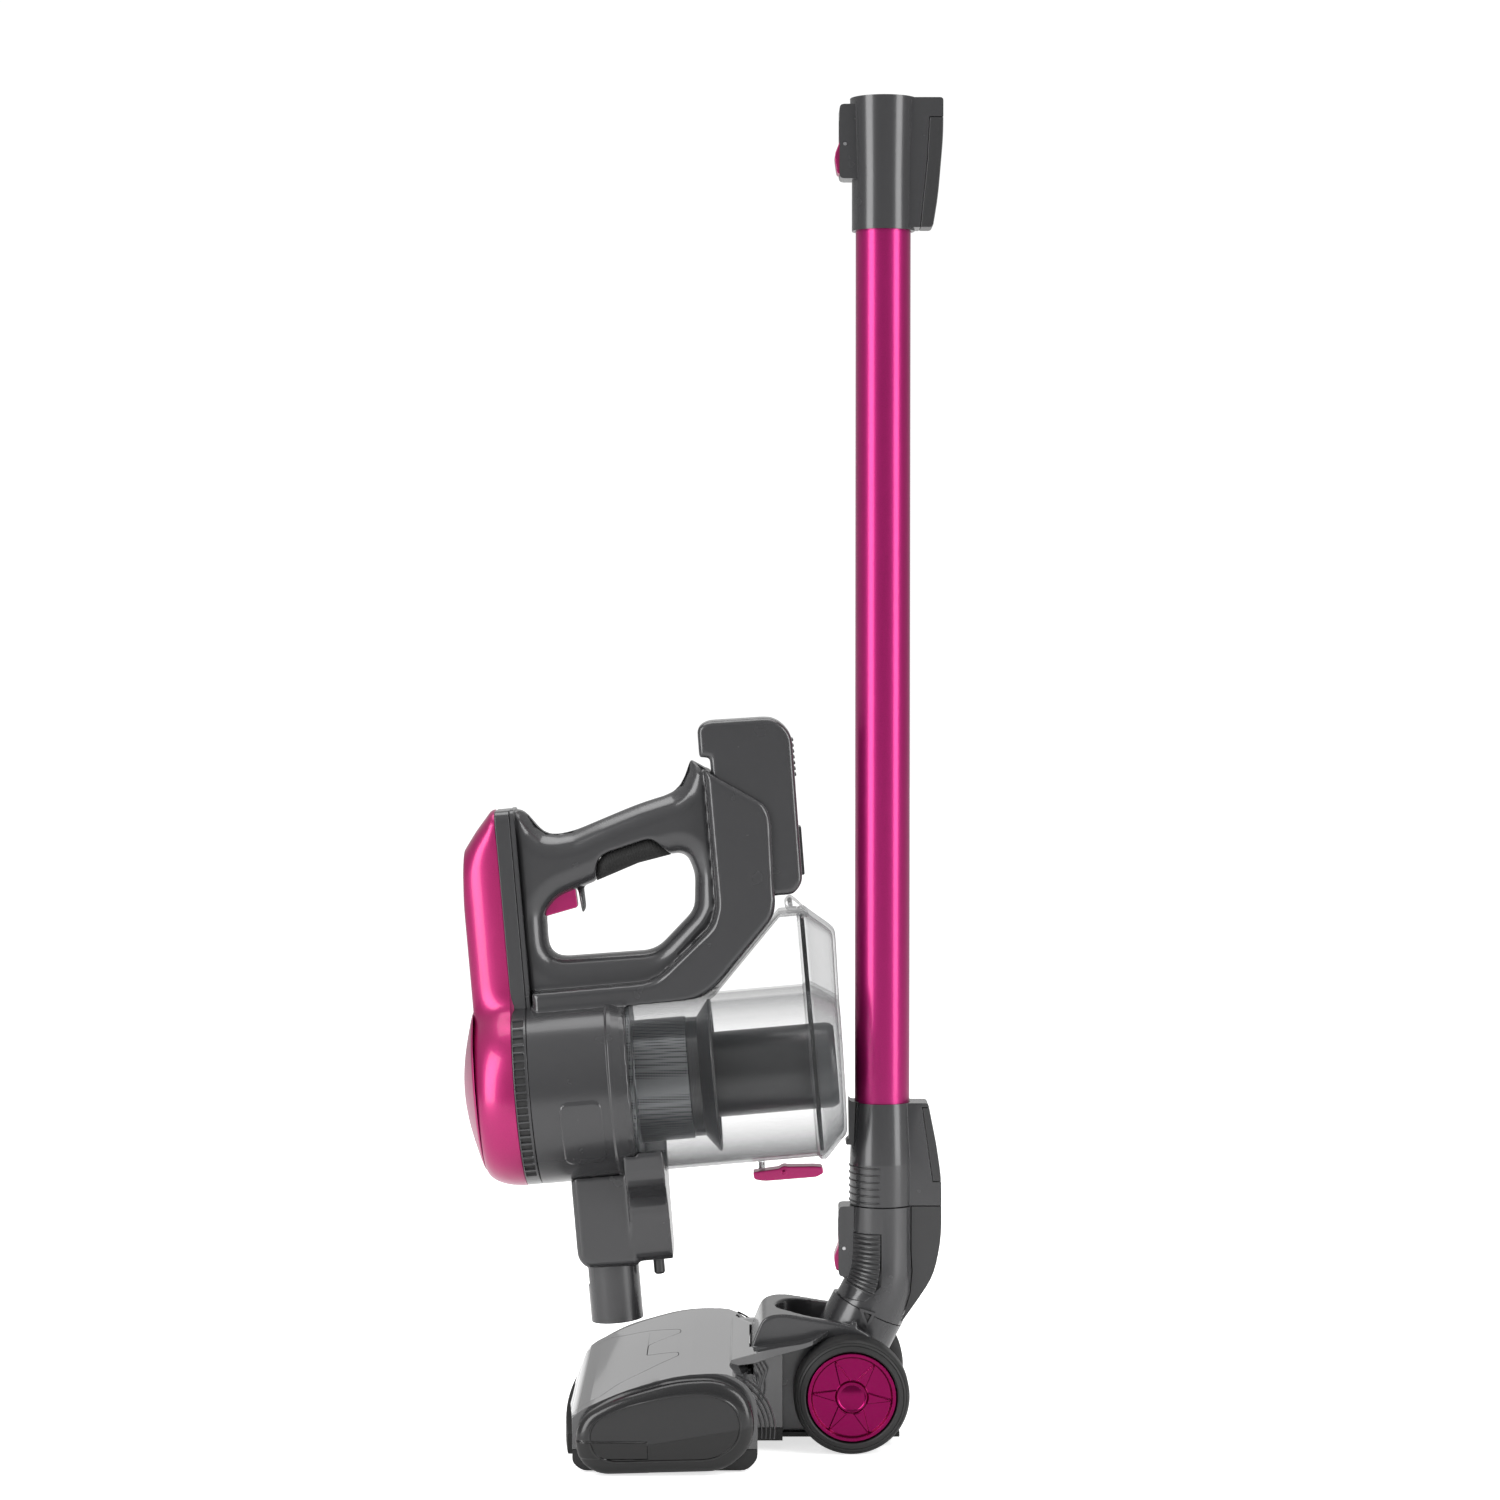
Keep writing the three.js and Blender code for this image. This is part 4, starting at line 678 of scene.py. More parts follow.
# ---------------------------------------------------------------- floor head
@dataclass
class Wheel:
    """One rear wheel: a rubber tyre and a spoked magenta hub."""

    side: int
    name: str
    groove: float = 0.45
    spokes: int = 6
    spoke_rise: float = 1.15
    first_spoke: float = 55.0
    sunk: float = 3.2
    wall: float = 2.5
    web: float = 3.6

    def build(self) -> None:
        """Makes the tyre and the hub."""
        low, high = span(f"tyre_{self.name}")
        centre = (low + high) / 2
        radius = (high[2] - low[2]) / 2
        inner, outer = sorted((abs(low[1]), abs(high[1])))
        self.tyre(centre, radius, inner, outer)
        self.hub(centre, inner, outer)

    def tyre(self, centre: np.ndarray, radius: float, inner: float, outer: float) -> None:
        """Turns the tyre: a broad sloping shoulder with two fine rings before the tread.

        Args:
            centre: The wheel's middle.
            radius: The tread's radius.
            inner: How far the tyre's inner face is from the machine's middle plane.
            outer: How far its outer face is.
        """
        hub_low, hub_high = span(f"hub_{self.name}")
        bead = (hub_high[2] - hub_low[2]) / 2 + 0.3
        g = self.groove
        face = [(bead, outer - 2.4), (bead + 0.3, outer - 0.6), (bead + 1.1, outer),
                (radius - 4.2, outer - 0.7), (radius - 3.8, outer - 0.7 - g), (radius - 3.4, outer - 0.8),
                (radius - 2.4, outer - 1.3), (radius - 2.1, outer - 1.3 - g), (radius - 1.8, outer - 1.6),
                (radius - 0.9, outer - 2.6), (radius - 0.2, outer - 4.4), (radius, outer - 6)]
        back = [(radius, inner + 4), (radius - 1.2, inner + 1.2), (radius - 4, inner), (bead, inner)]
        profile = np.array(face + back)
        profile[:, 1] *= self.side
        node = f"tyre_{self.name}"
        shape = turned(profile, "Y", (centre[0], 0, centre[2]), segments=160)
        surface_piece(f"{node}_rubber", shape, TREAD, BODY_OF[node], (node,), 28.0)

    def hub(self, centre: np.ndarray, inner: float, outer: float) -> None:
        """Makes the hub as a polar net whose height is a function of radius and angle.

        Height rises at the rim ring and the centre dome, and in wedges that narrow towards the rim. Its
        steps are shares of the radius: dome to 0.28, boss to 0.35, spokes to 0.85, rim ring from 0.88.

        Args:
            centre: The wheel's middle.
            inner: How far the hub's inner face is from the machine's middle plane.
            outer: How far the tyre's outer face is.
        """
        node = f"hub_{self.name}"
        low, high = span(node)
        radius = (high[2] - low[2]) / 2
        dish = outer - self.sunk
        ring = np.concatenate([np.linspace(0, 0.4, 30), np.linspace(0.4, 0.84, 46)[1:],
                               np.linspace(0.84, 1, 26)[1:]])
        turn = np.linspace(0, CIRCLE, 300, endpoint=False)
        r, a = np.meshgrid(ring * radius, turn, indexing="ij")
        share = r / radius
        rise = 2.1 * smooth(0.86, 0.91, share) - 0.9 * smooth(0.97, 1.0, share)
        rise += 1.5 * (1 - smooth(0.33, 0.37, share)) - 0.7 * (1 - smooth(0.28, 0.31, share))
        rise += 0.9 * (1 - (share / 0.28) ** 2).clip(0)
        step = CIRCLE / self.spokes
        off = (a - math.radians(self.first_spoke) + step / 2) % step - step / 2
        half = 3.4 - 2.9 * np.clip((share - 0.36) / 0.48, 0, 1)
        rise += self.spoke_rise * (1 - smooth(-0.25, 0.25, np.abs(r * np.sin(off)) - half)) * (
            smooth(0.35, 0.38, share) * (1 - smooth(0.83, 0.87, share)))
        face = np.stack([r * np.cos(a), self.side * (dish + rise), r * np.sin(a)], -1)
        bore, web = radius - self.wall, dish - self.web
        wall = np.array([(radius, inner + 1), (bore, inner + 1), (bore, web), (0, web)])
        back = np.stack([wall[:, :1] * np.cos(turn), np.broadcast_to(self.side * wall[:, 1:], (4, len(turn))),
                         wall[:, :1] * np.sin(turn)], -1)
        rings = np.concatenate([face, back]) + np.array([centre[0], 0, centre[2]])
        surface_piece(f"{node}_spoked", skin(rings), HUB, BODY_OF[node], (node,), 50.0)


@dataclass
class EndCap:
    """Domed cap on one end of the nozzle, with a ridge line inside its rim and a black lower part."""

    side: int
    name: str
    dome: float = 6.0
    pad_rise: float = 0.9
    face_share: Pair = (0.84, 0.7)
    middle: Pair = (-20.0, 30.0)
    ridge: float = 0.45
    sunk: float = 0.5
    outline: Corners = field(default_factory=lambda: [
        (-74.8, 22.8, 7), (-71, 8, 9), (-60, 1.2, 10), (14, 3, 12), (29, 15, 13), (33, 30, 13),
        (29, 48, 14), (12, 58, 18), (-14, 57, 24), (-50, 47, 18), (-70, 36, 10)])

    def build(self) -> None:
        """Makes the cap as a band that rolls over from the rim, a ridge line and a nearly flat face.

        The band blends the outline into a narrower copy while it rises by a quarter ellipse, and the face
        shrinks that copy to its middle. What lies below the parting line is sunk, and the pad is raised.
        """
        node = f"end_cap_{self.name}"
        low, high = span(node)
        near, far = (low[1], high[1]) if self.side > 0 else (-high[1], -low[1])
        edge = resampled(rounded(self.outline), 420)
        edge[:, 1] = np.maximum(edge[:, 1], low[2])
        middle = np.array(self.middle)
        inner = middle + (edge - middle) * np.array(self.face_share)
        roll = 1 - np.cos(np.linspace(0, np.pi / 2, 26))
        band = edge + (inner - edge) * roll[:, None, None]
        shrink = np.linspace(1, 0.01, 76)[1:]
        face = middle + (inner - middle) * shrink[:, None, None]
        flat = np.concatenate([edge[None], band, face])
        top = far - self.pad_rise - 0.5
        rise = top - self.dome * (1 - np.sqrt(1 - (1 - roll) ** 2))
        level = np.concatenate([[near], rise, top - 0.3 + 0.5 * (1 - shrink**2)])
        level[25:27] += self.ridge
        lift = np.broadcast_to(level[:, None], flat.shape[:2]).copy()
        x, z = flat[..., 0], flat[..., 1]
        line = TWO_TONE.slope * x + TWO_TONE.level / MM
        lift[2:] -= (self.sunk * (1 - smooth(-0.4, 0.4, z - line)) * smooth(-31, -30, x))[2:]
        pad = (1 - smooth(-31.4, -30.6, x)) * smooth(11, 11.8, z) * (1 - smooth(21.2, 22, z))
        lift[2:] += (self.pad_rise * pad)[2:]
        rings = np.stack([x, self.side * lift, z], -1)
        surface_piece(f"{node}_domed", skin(rings), TWO_TONE, BODY_OF[node], (node,), 30.0)


@dataclass
class BrushRoll:
    """Brush core with two rows of bristle tufts that wind half a turn."""

    tufts: int = 44
    reach: Triple = (15.3, 18.5, 21.4)
    spread: Triple = (1.5, 1.3, 1.05)

    def build(self) -> None:
        """Keeps the core's shape with soft rims and makes each row a comb of tapered tufts."""
        edged_copy("brush_core", PINK, 0.3)
        edged_copy("brush_pulley", TRIM, 0.3)
        edged_copy("motor_pulley", TRIM, 0.2)
        low, high = span("brush_core")
        x, z = (low[0] + high[0]) / 2, (low[2] + high[2]) / 2
        for name, start in (("bristle_strip_a", 0.0), ("bristle_strip_b", 180.0)):
            y0, y1 = span(name)[0][1], span(name)[1][1]
            share = (np.arange(self.tufts) + 0.5) / self.tufts
            turn = np.radians(start + 180 * share)
            corner = np.radians([45, 135, 225, 315])
            radius = np.array(self.reach)[None, :, None]
            spread = np.array(self.spread)[None, :, None]
            sideways = (spread * np.cos(corner)[None, None]) + 0 * radius
            along = (y0 + (y1 - y0) * share)[:, None, None] + spread * 1.35 * np.sin(corner)[None, None]
            c, s = np.cos(turn)[:, None, None], np.sin(turn)[:, None, None]
            points = np.stack([x + radius * c - sideways * s, along + 0 * radius,
                               z + radius * s + sideways * c], -1)
            comb = joined([skin(tuft) for tuft in points])
            surface_piece(f"{name}_tufts", comb, BRISTLE, BODY_OF[name], (name,))


@dataclass
class FloorHead:
    """Nozzle, its end caps, cradle, wheels, rollers and brush."""

    rear_ribs: int = 5
    rib: float = 0.6
    rib_centre: Pair = (8.0, 24.0)
    bow: Pair = (-76.6, 4.9)

    def build(self) -> None:
        """Makes every piece of the floor head."""
        edged_copy("head_cover", GLOSS, 0.7, 28.0)
        edged_copy("brush_window", GLOSS, 0.5, 28.0)
        edged_copy("head_base", INNER, 0.5)
        self.bumper()
        moulded_copy("neck_cradle", SHELL, 0.9, 8)
        for node in ("brush_motor", "drive_belt", "axle_left", "axle_right", "front_roller_left",
                     "front_roller_right"):
            edged_copy(node, FINISH_OF[SLOT_OF[node]], 0.3)
        for side, name in ((-1, "left"), (1, "right")):
            Wheel(side, name).build()
            EndCap(side, name).build()
            self.vents(side, name)
        BrushRoll().build()

    def bumper(self) -> None:
        """Makes the front strip: a rounded section that bows forward by a parabola from end to end."""
        low, high = span("front_bumper")
        section = rounded([(1.0, 10.8, 0.5), (-2.3, 10.8, 1.2), (-2.3, 23.0, 1.2), (1.0, 23.0, 0.5)], 7)
        along = np.linspace(low[1], high[1], 120)
        bow = self.bow[0] - self.bow[1] * (1 - (along / 102) ** 2)
        rings = np.stack([bow[:, None] + section[None, :, 0], along[:, None] + 0 * section[None, :, 0],
                          section[None, :, 1] + 0 * bow[:, None]], -1)
        surface_piece("front_bumper_strip", skin(rings), RUBBER, "floor_head", ("front_bumper",), 40.0)

    def vents(self, side: int, name: str) -> None:
        """Adds the curved cooling ribs on the nozzle's rear corner: arcs carried by a small round section.

        Args:
            side: -1 for the left and 1 for the right.
            name: The side's name.
        """
        turn = np.linspace(math.radians(-8), math.radians(68), 24)
        section = np.linspace(0, CIRCLE, 8, endpoint=False)
        out = np.stack([np.cos(turn), np.sin(turn)], -1)
        ribs = []
        for k in range(self.rear_ribs):
            reach = 26 + 2.6 * k
            x, z = (self.rib_centre[i] + reach * out[:, i] for i in (0, 1))
            ribs.append(skin(np.stack([
                x[:, None] + self.rib * np.cos(section) * out[:, None, 0],
                side * (101.2 - 1.1 * k + self.rib * np.sin(section))[None].repeat(24, 0),
                z[:, None] + self.rib * np.cos(section) * out[:, None, 1]], -1)))
        surface_piece(f"vent_ribs_{name}", joined(ribs), TRIM, "floor_head")


# ---------------------------------------------------------------- neck and wand
@dataclass
class Neck:
    """Tilting neck: lower tube, ribbed elbow, its web cover, catch and release rocker."""

    stations: Corners = field(default_factory=lambda: [
        (103.64, 79.97, 23.8, 27), (107, 87, 23.4, 25), (110.4, 96, 22.6, 16), (112.1, 106, 21.6, 6),
        (112.3, 117, 20.8, 0), (112.3, 144.4, 20.8, 0)])
    drawn_at: float = 112.3
    rib_pitch: float = 3.15
    rib_rise: float = 0.9
    rib_reach: float = 0.5

    def build(self) -> None:
        """Makes every piece of the neck."""
        edged_copy("neck_tube", SHELL, 0.6, 34.0)
        edged_copy("neck_elbow", SHELL, 0.6, 34.0)
        edged_copy("neck_back_cover", TRIM, 0.6)
        edged_copy("upright_catch", SHELL, 0.3)
        moulded_copy("neck_button", PINK, 0.4, 6)
        edged_copy("neck_button_pin", STEEL, 0.15)
        self.rib_panel()

    def rib_panel(self) -> None:
        """Ribbed grip round the front of the elbow: rings follow the bend, and each rib is a rounded crest.

        Radius is the elbow's plus rise * exp(-(d / reach)^2), where d is the distance to the nearest rib. The
        stations hold the elbow's x, z, radius and lean from bottom to top.
        """
        table = np.array(self.stations)
        shift = (span("wand_tube")[0][0] + span("wand_tube")[1][0]) / 2 - self.drawn_at
        along = np.concatenate([[0], np.cumsum(np.hypot(*np.diff(table[:, :2], axis=0).T))])
        s = np.linspace(along[0] + 10.5, along[0] + 50, 170)
        x, z, radius, lean = (np.interp(s, along, table[:, k]) for k in range(4))
        lean = np.radians(lean)
        nearest = (s + self.rib_pitch / 2) % self.rib_pitch - self.rib_pitch / 2
        crest = np.exp(-(nearest / self.rib_reach) ** 2)
        fade = np.sin(np.linspace(0, np.pi, 36)) ** 0.25
        for start, end, name in ((95, 151, "far"), (209, 265, "near")):
            half = np.linspace(np.radians(start), np.radians(end), 36)
            high = (radius[:, None] + 0.15 + self.rib_rise * crest[:, None] * fade)
            low = np.broadcast_to(radius[:, None] - 1.2, high.shape)
            r = np.concatenate([high, low[:, ::-1]], 1)
            a = np.concatenate([half, half[::-1]])[None]
            across = r * np.cos(a)
            rings = np.stack([shift + x[:, None] + across * np.cos(lean)[:, None], r * np.sin(a),
                              z[:, None] - across * np.sin(lean)[:, None]], -1)
            node = ("neck_rib_panel",) if name == "near" else ()
            surface_piece(f"neck_ribs_{name}", skin(rings), TRIM, BODY_OF["neck_rib_panel"], node, 50.0)


@dataclass
class Wand:
    """Straight magenta tube between two couplings, with a fin behind each."""

    wall: float = 1.5
    rim: float = 0.4
    ribs: int = 6
    first_rib: float = 147.5
    rib_pitch: float = 4.3
    rib_ring: float = 20.25
    rib: float = 0.55
    x: float = 0.0

    def build(self) -> None:
        """Makes every piece of the wand."""
        low, high = span("wand_tube")
        self.x, radius = (low[0] + high[0]) / 2, (high[1] - low[1]) / 2
        bore, lip = radius - self.wall, radius - self.rim
        profile = [(radius, low[2] + self.rim), (radius, high[2] - self.rim), (lip, high[2]), (bore, high[2]),
                   (bore, low[2]), (lip, low[2])]
        tube = turned(profile, "Z", (self.x, 0, 0), segments=160)
        surface_piece("wand_tube_painted", tube, TUBE, "wand", ("wand_tube",))
        self.sleeve("lower_coupling")
        edged_copy("upper_coupling", SHELL, 0.7, 34.0)
        for node in ("lower_back_cover", "upper_back_cover", "storage_hook"):
            edged_copy(node, TRIM, 0.6)
        moulded_copy("wand_button", PINK, 0.4, 6)
        edged_copy("wand_button_pin", STEEL, 0.15)

    def sleeve(self, node: str) -> None:
        """Keeps the lower coupling's shape and adds its grip ribs, on both sides of the mould line."""
        edged_copy(node, SHELL, 0.7, 34.0)
        section = np.linspace(0, CIRCLE, 10, endpoint=False)
        r = self.rib_ring + self.rib * np.cos(section)[None]
        rise = self.rib * np.sin(section)
        ribs = []
        for k in range(self.ribs):
            z = self.first_rib + self.rib_pitch * k
            for start, end in ((97, 175), (185, 263)):
                a = np.radians(np.linspace(start, end, 40))[:, None]
                height = np.broadcast_to(z + rise, r.shape) + 0 * a
                ribs.append(skin(np.stack([self.x + r * np.cos(a), r * np.sin(a), height], -1)))
        surface_piece("lower_coupling_ribs", joined(ribs), TRIM, "wand")


# ---------------------------------------------------------------- handheld unit
@dataclass
class Leaned:
    """Drawing plane of the handheld unit: u along X and v along Z, about the motor's axis, leaned back."""

    x: float = -1.575
    z: float = 224.4
    lean: float = math.radians(5)

    def place(self, surface: Surface) -> Surface:
        """Turns points drawn about the motor's axis into the machine's frame; the faces stay as they are."""
        points, faces = surface
        c, s = math.cos(self.lean), math.sin(self.lean)
        u, y, v = points.T
        return np.column_stack([self.x + u * c - v * s, y, self.z + u * s + v * c]), faces


def keyhole(radius: float, half: float, top: float, corner: float, shrink: np.ndarray, drop: np.ndarray,
            count: int = 300, soften: int = 0) -> np.ndarray:
    """Rings of a round end with a narrower post above it, each drawn in by its own amount.

    Args:
        radius: Of the round end.
        half: Half width of the post.
        top: Height of the post.
        corner: Reach of the rounding at the post's top.
        shrink: How far each ring is drawn in.
        drop: How much further the post's top is lowered on each ring.
        count: Points in a ring.
        soften: How many times each point moves to the mean of itself and its neighbours.

    Returns:
        Points as (ring, point, across and up).
    """
    rings = []
    for s, d in zip(shrink, drop):
        r, h, t = radius - s, half - s, top - s - d
        start = math.asin(h / r)
        arc = np.linspace(np.pi / 2 - start, np.pi / 2 + start - CIRCLE, 90)
        foot = 6.0
        neck = r * math.cos(start)
        path = [(h, neck + foot), (h, t, corner), (-h, t, corner), (-h, neck + foot)]
        post = rounded(path, 16)[::-1]
        round_end = np.column_stack([r * np.cos(arc), r * np.sin(arc)])
        rings.append(resampled(np.vstack([round_end, post]), count))
    shape = np.stack(rings)
    for _ in range(soften):
        shape = (np.roll(shape, 1, 1) + shape + np.roll(shape, -1, 1)) / 3
    return shape


@dataclass
class Grip:
    """Round section of the handle: the casing narrows towards the handle's upper line and the finger hole."""

    plane: Leaned
    reach: float = 15.0
    least: float = 0.22
    half: float = 17.2
    insert_slope: float = 16.0
    rib_pitch: float = 1.7
    back: Corners = field(default_factory=lambda: [
        (-94, 174.6), (-88, 164.5), (-82, 159), (-75, 157.8), (-66, 158.6), (-48, 165), (-22.5, 172.6),
        (-3, 177.2), (5, 182), (9.5, 190), (11.6, 197)])
    hole: Corners = field(default_factory=lambda: [
        (-86, 110, 4), (-86.5, 82, 12), (-20, 81, 8), (6, 104, 6), (8.3, 126, 4), (4, 141, 12), (-26, 136),
        (-78, 119, 6)])

    def unplace(self, points: np.ndarray) -> np.ndarray:
        """Turns points of the machine's frame back into the drawing plane."""
        c, s = math.cos(self.plane.lean), math.sin(self.plane.lean)
        x, z = points[:, 0] - self.plane.x, points[:, 2] - self.plane.z
        return np.column_stack([x * c + z * s, points[:, 1], z * c - x * s])

    def round_off(self, points: np.ndarray) -> np.ndarray:
        """Scales Y by least + (1 - least) * sqrt(1 - (1 - d / reach)^2), with d the way to the edge."""
        local = self.unplace(points)
        hole = rounded(self.hole, 8)
        side = local[:, [0, 2]]
        to_back = distance(side, np.array(self.back, float))
        d = np.minimum(to_back, distance(side, np.vstack([hole, hole[:1]])))
        share = np.clip(d / self.reach, 0, 1)
        scale = self.least + (1 - self.least) * np.sqrt(1 - (1 - share) ** 2)
        on_grip = (np.abs(local[:, 1]) < self.half) & (local[:, 0] < 21) & (local[:, 2] > 60)
        moved = points.copy()
        moved[:, 1] *= np.where(on_grip, scale, 1.0)
        return moved

    def ribbed(self, points: np.ndarray) -> np.ndarray:
        """Rounds the rubber insert and adds its ribs: Y * (1.012 - 0.035 * cos^2(pi s / pitch))."""
        moved = self.round_off(points)
        local = self.unplace(points)
        slope = math.radians(self.insert_slope)
        along = local[:, 0] * math.cos(slope) + local[:, 2] * math.sin(slope)
        moved[:, 1] *= 1.012 - 0.035 * np.cos(np.pi * along / self.rib_pitch) ** 2
        return moved


@dataclass
class RearCap:
    """Glossy magenta dish over the motor's end, with a low domed disc."""

    plane: Leaned
    seam: float = -112.0
    depth: float = 24.0
    rim: float = 12.0
    wall: float = 2.6
    disc: float = 50.0
    bulge: float = 10.1

    def build(self) -> None:
        """Makes the disc, and the dish: rings that draw in by a quarter ellipse and lean back at the top."""
        angle = np.linspace(0, np.pi / 2, 26)
        shrink = self.rim * (1 - np.cos(angle))
        u = self.seam - self.depth * np.sin(angle)
        drop = np.interp(-u, [112, 114.4, 124.9, 133.3, 134.7, 136], [0, 0.4, 12.4, 23.5, 32, 49]) - shrink
        outside = stationed(u, keyhole(58.6, 22, 176.8, 12, shrink, drop, soften=24))
        inside = keyhole(58.6, 22, 176.8, 12, shrink + self.wall, drop, soften=24)[::-1]
        inside = stationed((u + 2.2)[::-1], inside)
        floor = outside[-1:].copy()
        middle = np.array([-136.0, 0, 30.0])
        close = middle + (floor - middle) * np.linspace(1, 0.02, 24)[1:, None, None]
        inner_close = close[::-1] + np.array([2.2, 0, 0])
        dish = self.plane.place(skin(np.concatenate([outside, close, inner_close, inside]), ring_loop=True))
        surface_piece("rear_cap_dish", dish, PINK, "handheld", ("rear_cap",), 50.0)
        r = np.linspace(0, self.disc, 40)
        inward = 1 - (r / self.disc) ** 2
        dome = -136.2 - self.bulge * np.sqrt(np.clip(inward, 0, 1)) * (0.35 + 0.65 * inward)
        profile = np.vstack([np.column_stack([r, dome]), [(self.disc, -136.0), (0, -136.0)]])
        disc = turned(profile, "X", (0, 0, 3), closed=False, segments=128)
        surface_piece("cap_disc_domed", self.plane.place(disc), PINK, "handheld", ("cap_disc",), 60.0)


@dataclass
class VentBand:
    """Keyhole band behind the rear cap with a row of exhaust slots down each side."""

    plane: Leaned
    slots: int = 21
    row: float = 93.0
    sunk: float = 2.2
    post: tuple[float, float, float, float] = (58.0, 21.6, 176.0, 8.0)

    def build(self) -> None:
        """Makes the band as a fine net whose surface drops into each slot."""
        u = np.linspace(-111.7, -102.4, 38)
        rim = 0.7 * (1 - np.sqrt(np.clip(1 - ((np.abs(u + 107.05) - 3.95).clip(0) / 0.7) ** 2, 0, 1)))
        band = keyhole(*self.post, rim, 0 * rim, 1400)
        pitch = self.row / (self.slots - 1)
        v = band[..., 1]
        near = (v + 47 + pitch / 2) % pitch - pitch / 2
        sides = (np.abs(band[..., 0]) > 30) & (v < 48) & (v > -49)
        across = 1 - smooth(2.9, 3.2, np.abs(u + 107.5))[:, None]
        sink = (1 - smooth(1.35, 1.7, np.abs(near))) * across * sides
        length = np.hypot(band[..., 0], v)
        band = band * (1 - self.sunk * sink / length)[..., None]
        inside = keyhole(*self.post, np.full(5, 3.4), np.zeros(5), 1400)
        rings = np.concatenate([stationed(u, band), stationed(np.linspace(-102.4, -111.7, 5), inside)])
        # Painted shade: a near-black band just under the slot floors stands in for the shade inside the slots.
        shadow = stationed(np.array([-110.8, -104.2]), keyhole(*self.post, np.ones(2), np.zeros(2), 300))
        surface_piece("vent_shadow", self.plane.place(skin(shadow)), INNER, "handheld")
        collar = keyhole(58.0, 21.8, 176.4, 8, np.array([0.6, 0, 0, 0.6, 3]), np.zeros(5), 300)
        collar = stationed(np.array([-102.3, -101.9, -100.0, -99.4, -99.4]), collar)
        surface_piece("post_collar", self.plane.place(skin(collar)), SHELL, "handheld")
        shape = self.plane.place(skin(rings, ring_loop=True))
        surface_piece("vent_band", shape, SHELL, "handheld", ("vent_ring",), 40.0)


@dataclass
class MotorBody:
    """Casing halves with the handle, the round motor sleeve and what is fixed inside."""

    plane: Leaned
    drum: float = 56.0
    panel_rise: float = 0.7
    coil: float = 1.8
    wire: float = 0.28
    coils: int = 6
    spring_keep: float = 0.45

    def build(self) -> None:
        """Makes the casing, grip and inner pieces."""
        for node in ("body_shell_left", "body_shell_right"):
            moulded_copy(node, SHELL, 1.0, 10, Grip(self.plane).round_off)
        moulded_copy("grip_insert", RUBBER, 0.4, 4, Grip(self.plane).ribbed)
        moulded_copy("trigger", PINK, 0.4, 6)
        self.sleeve()
        for node in ("suction_motor", "door_hinge_pin", "contact_plug"):
            edged_copy(node, FINISH_OF[SLOT_OF[node]], 0.3)
        self.cyclone()
        self.spring()
        moulded_copy("inlet_housing", SHELL, 0.9, 8)
        edged_copy("inlet_tube", SHELL, 0.4, 34.0)

    def sleeve(self) -> None:
        """Round wall of the motor's casing: radius is a profile of u plus a raised panel on each side.

        The profile steps up to a front band, whose face falls away towards the bin.
        """
        back, front = -102.1, -41.7
        u = np.concatenate([np.linspace(back, -54.6, 120), np.linspace(-54.4, front, 40)])
        turn = np.linspace(0, CIRCLE, 480, endpoint=False)
        steps = [(-103, 58.12), (-54.5, 58.12), (-53.2, 59.2), (-51, 59.3), (-43.2, 57.2), (front, 56.8)]
        radius = np.interp(u, *zip(*steps))[:, None]
        v = 58.1 * np.sin(turn)[None]
        across = smooth(-85.4, -84.6, u)[:, None] * (1 - smooth(-60.4, -59.6, u))[:, None]
        from_end = np.clip(5 - np.minimum(u + 85, -60 - u), 0, 5)
        corner = 5 - np.sqrt(np.clip(25 - from_end**2, 0, 25))[:, None]
        panel = across * smooth(-42.4, -41.6, v - corner) * (1 - smooth(-3.4, -2.6, v + corner))
        radius = np.concatenate([radius + self.panel_rise * panel, np.full((2, len(turn)), self.drum)])
        round_wall = np.stack([radius * np.cos(turn), radius * np.sin(turn)], -1)
        rings = stationed(np.concatenate([u, [front, back]]), round_wall)
        surface_piece("motor_sleeve", self.plane.place(skin(rings, ring_loop=True)), SHELL, "handheld")

    def cyclone(self) -> None:
        """Turns the perforated shroud, its skirt and the filter tube with their real walls."""
        shroud = [(53.9, -41.7), (53.9, -39.2), (38.6, -39.2), (38, -38.4), (38, -6), (36, -6), (36, -41.7)]
        skirt = [(37, -5.7), (37, 1), (47.2, 8.8), (47.4, 9.6), (46.8, 10.5), (45, 10.5), (34, 2.5),
                 (28, 2.5), (28, -5.7)]
        tube = [(26.5, 2.8), (26.5, 80.6), (25.6, 83.6), (24, 85.4), (12, 85.4), (12, 82), (24, 80),
                (24, 2.8)]
        for node, profile, finish in (("cyclone_shroud", shroud, SHROUD), ("shroud_skirt", skirt, TRIM),
                                      ("filter_tube", tube, TRIM)):
            shape = self.plane.place(turned(profile, "X", (0, 0, 0), segments=128))
            surface_piece(f"{node}_turned", shape, finish, "handheld", (node,), 30.0)

    def spring(self) -> None:
        """Coil under the bin: a round wire carried along a helix."""
        low, high = span("latch_spring")
        centre = (low + high) / 2
        turn = np.linspace(0, 2 * self.coils * np.pi, 150)
        wire = np.linspace(0, CIRCLE, 8, endpoint=False)
        radius = self.coil + self.wire * np.cos(wire)[None]
        z = np.linspace(low[2] + 0.35, high[2] - 0.35, 150)[:, None] + self.wire * np.sin(wire)[None]
        rings = np.stack([centre[0] + radius * np.cos(turn)[:, None], radius * np.sin(turn)[:, None], z], -1)
        node = "latch_spring"
        coil = surface_piece(f"{node}_coil", skin(rings), STEEL, BODY_OF[node], (node,))
        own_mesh(coil)


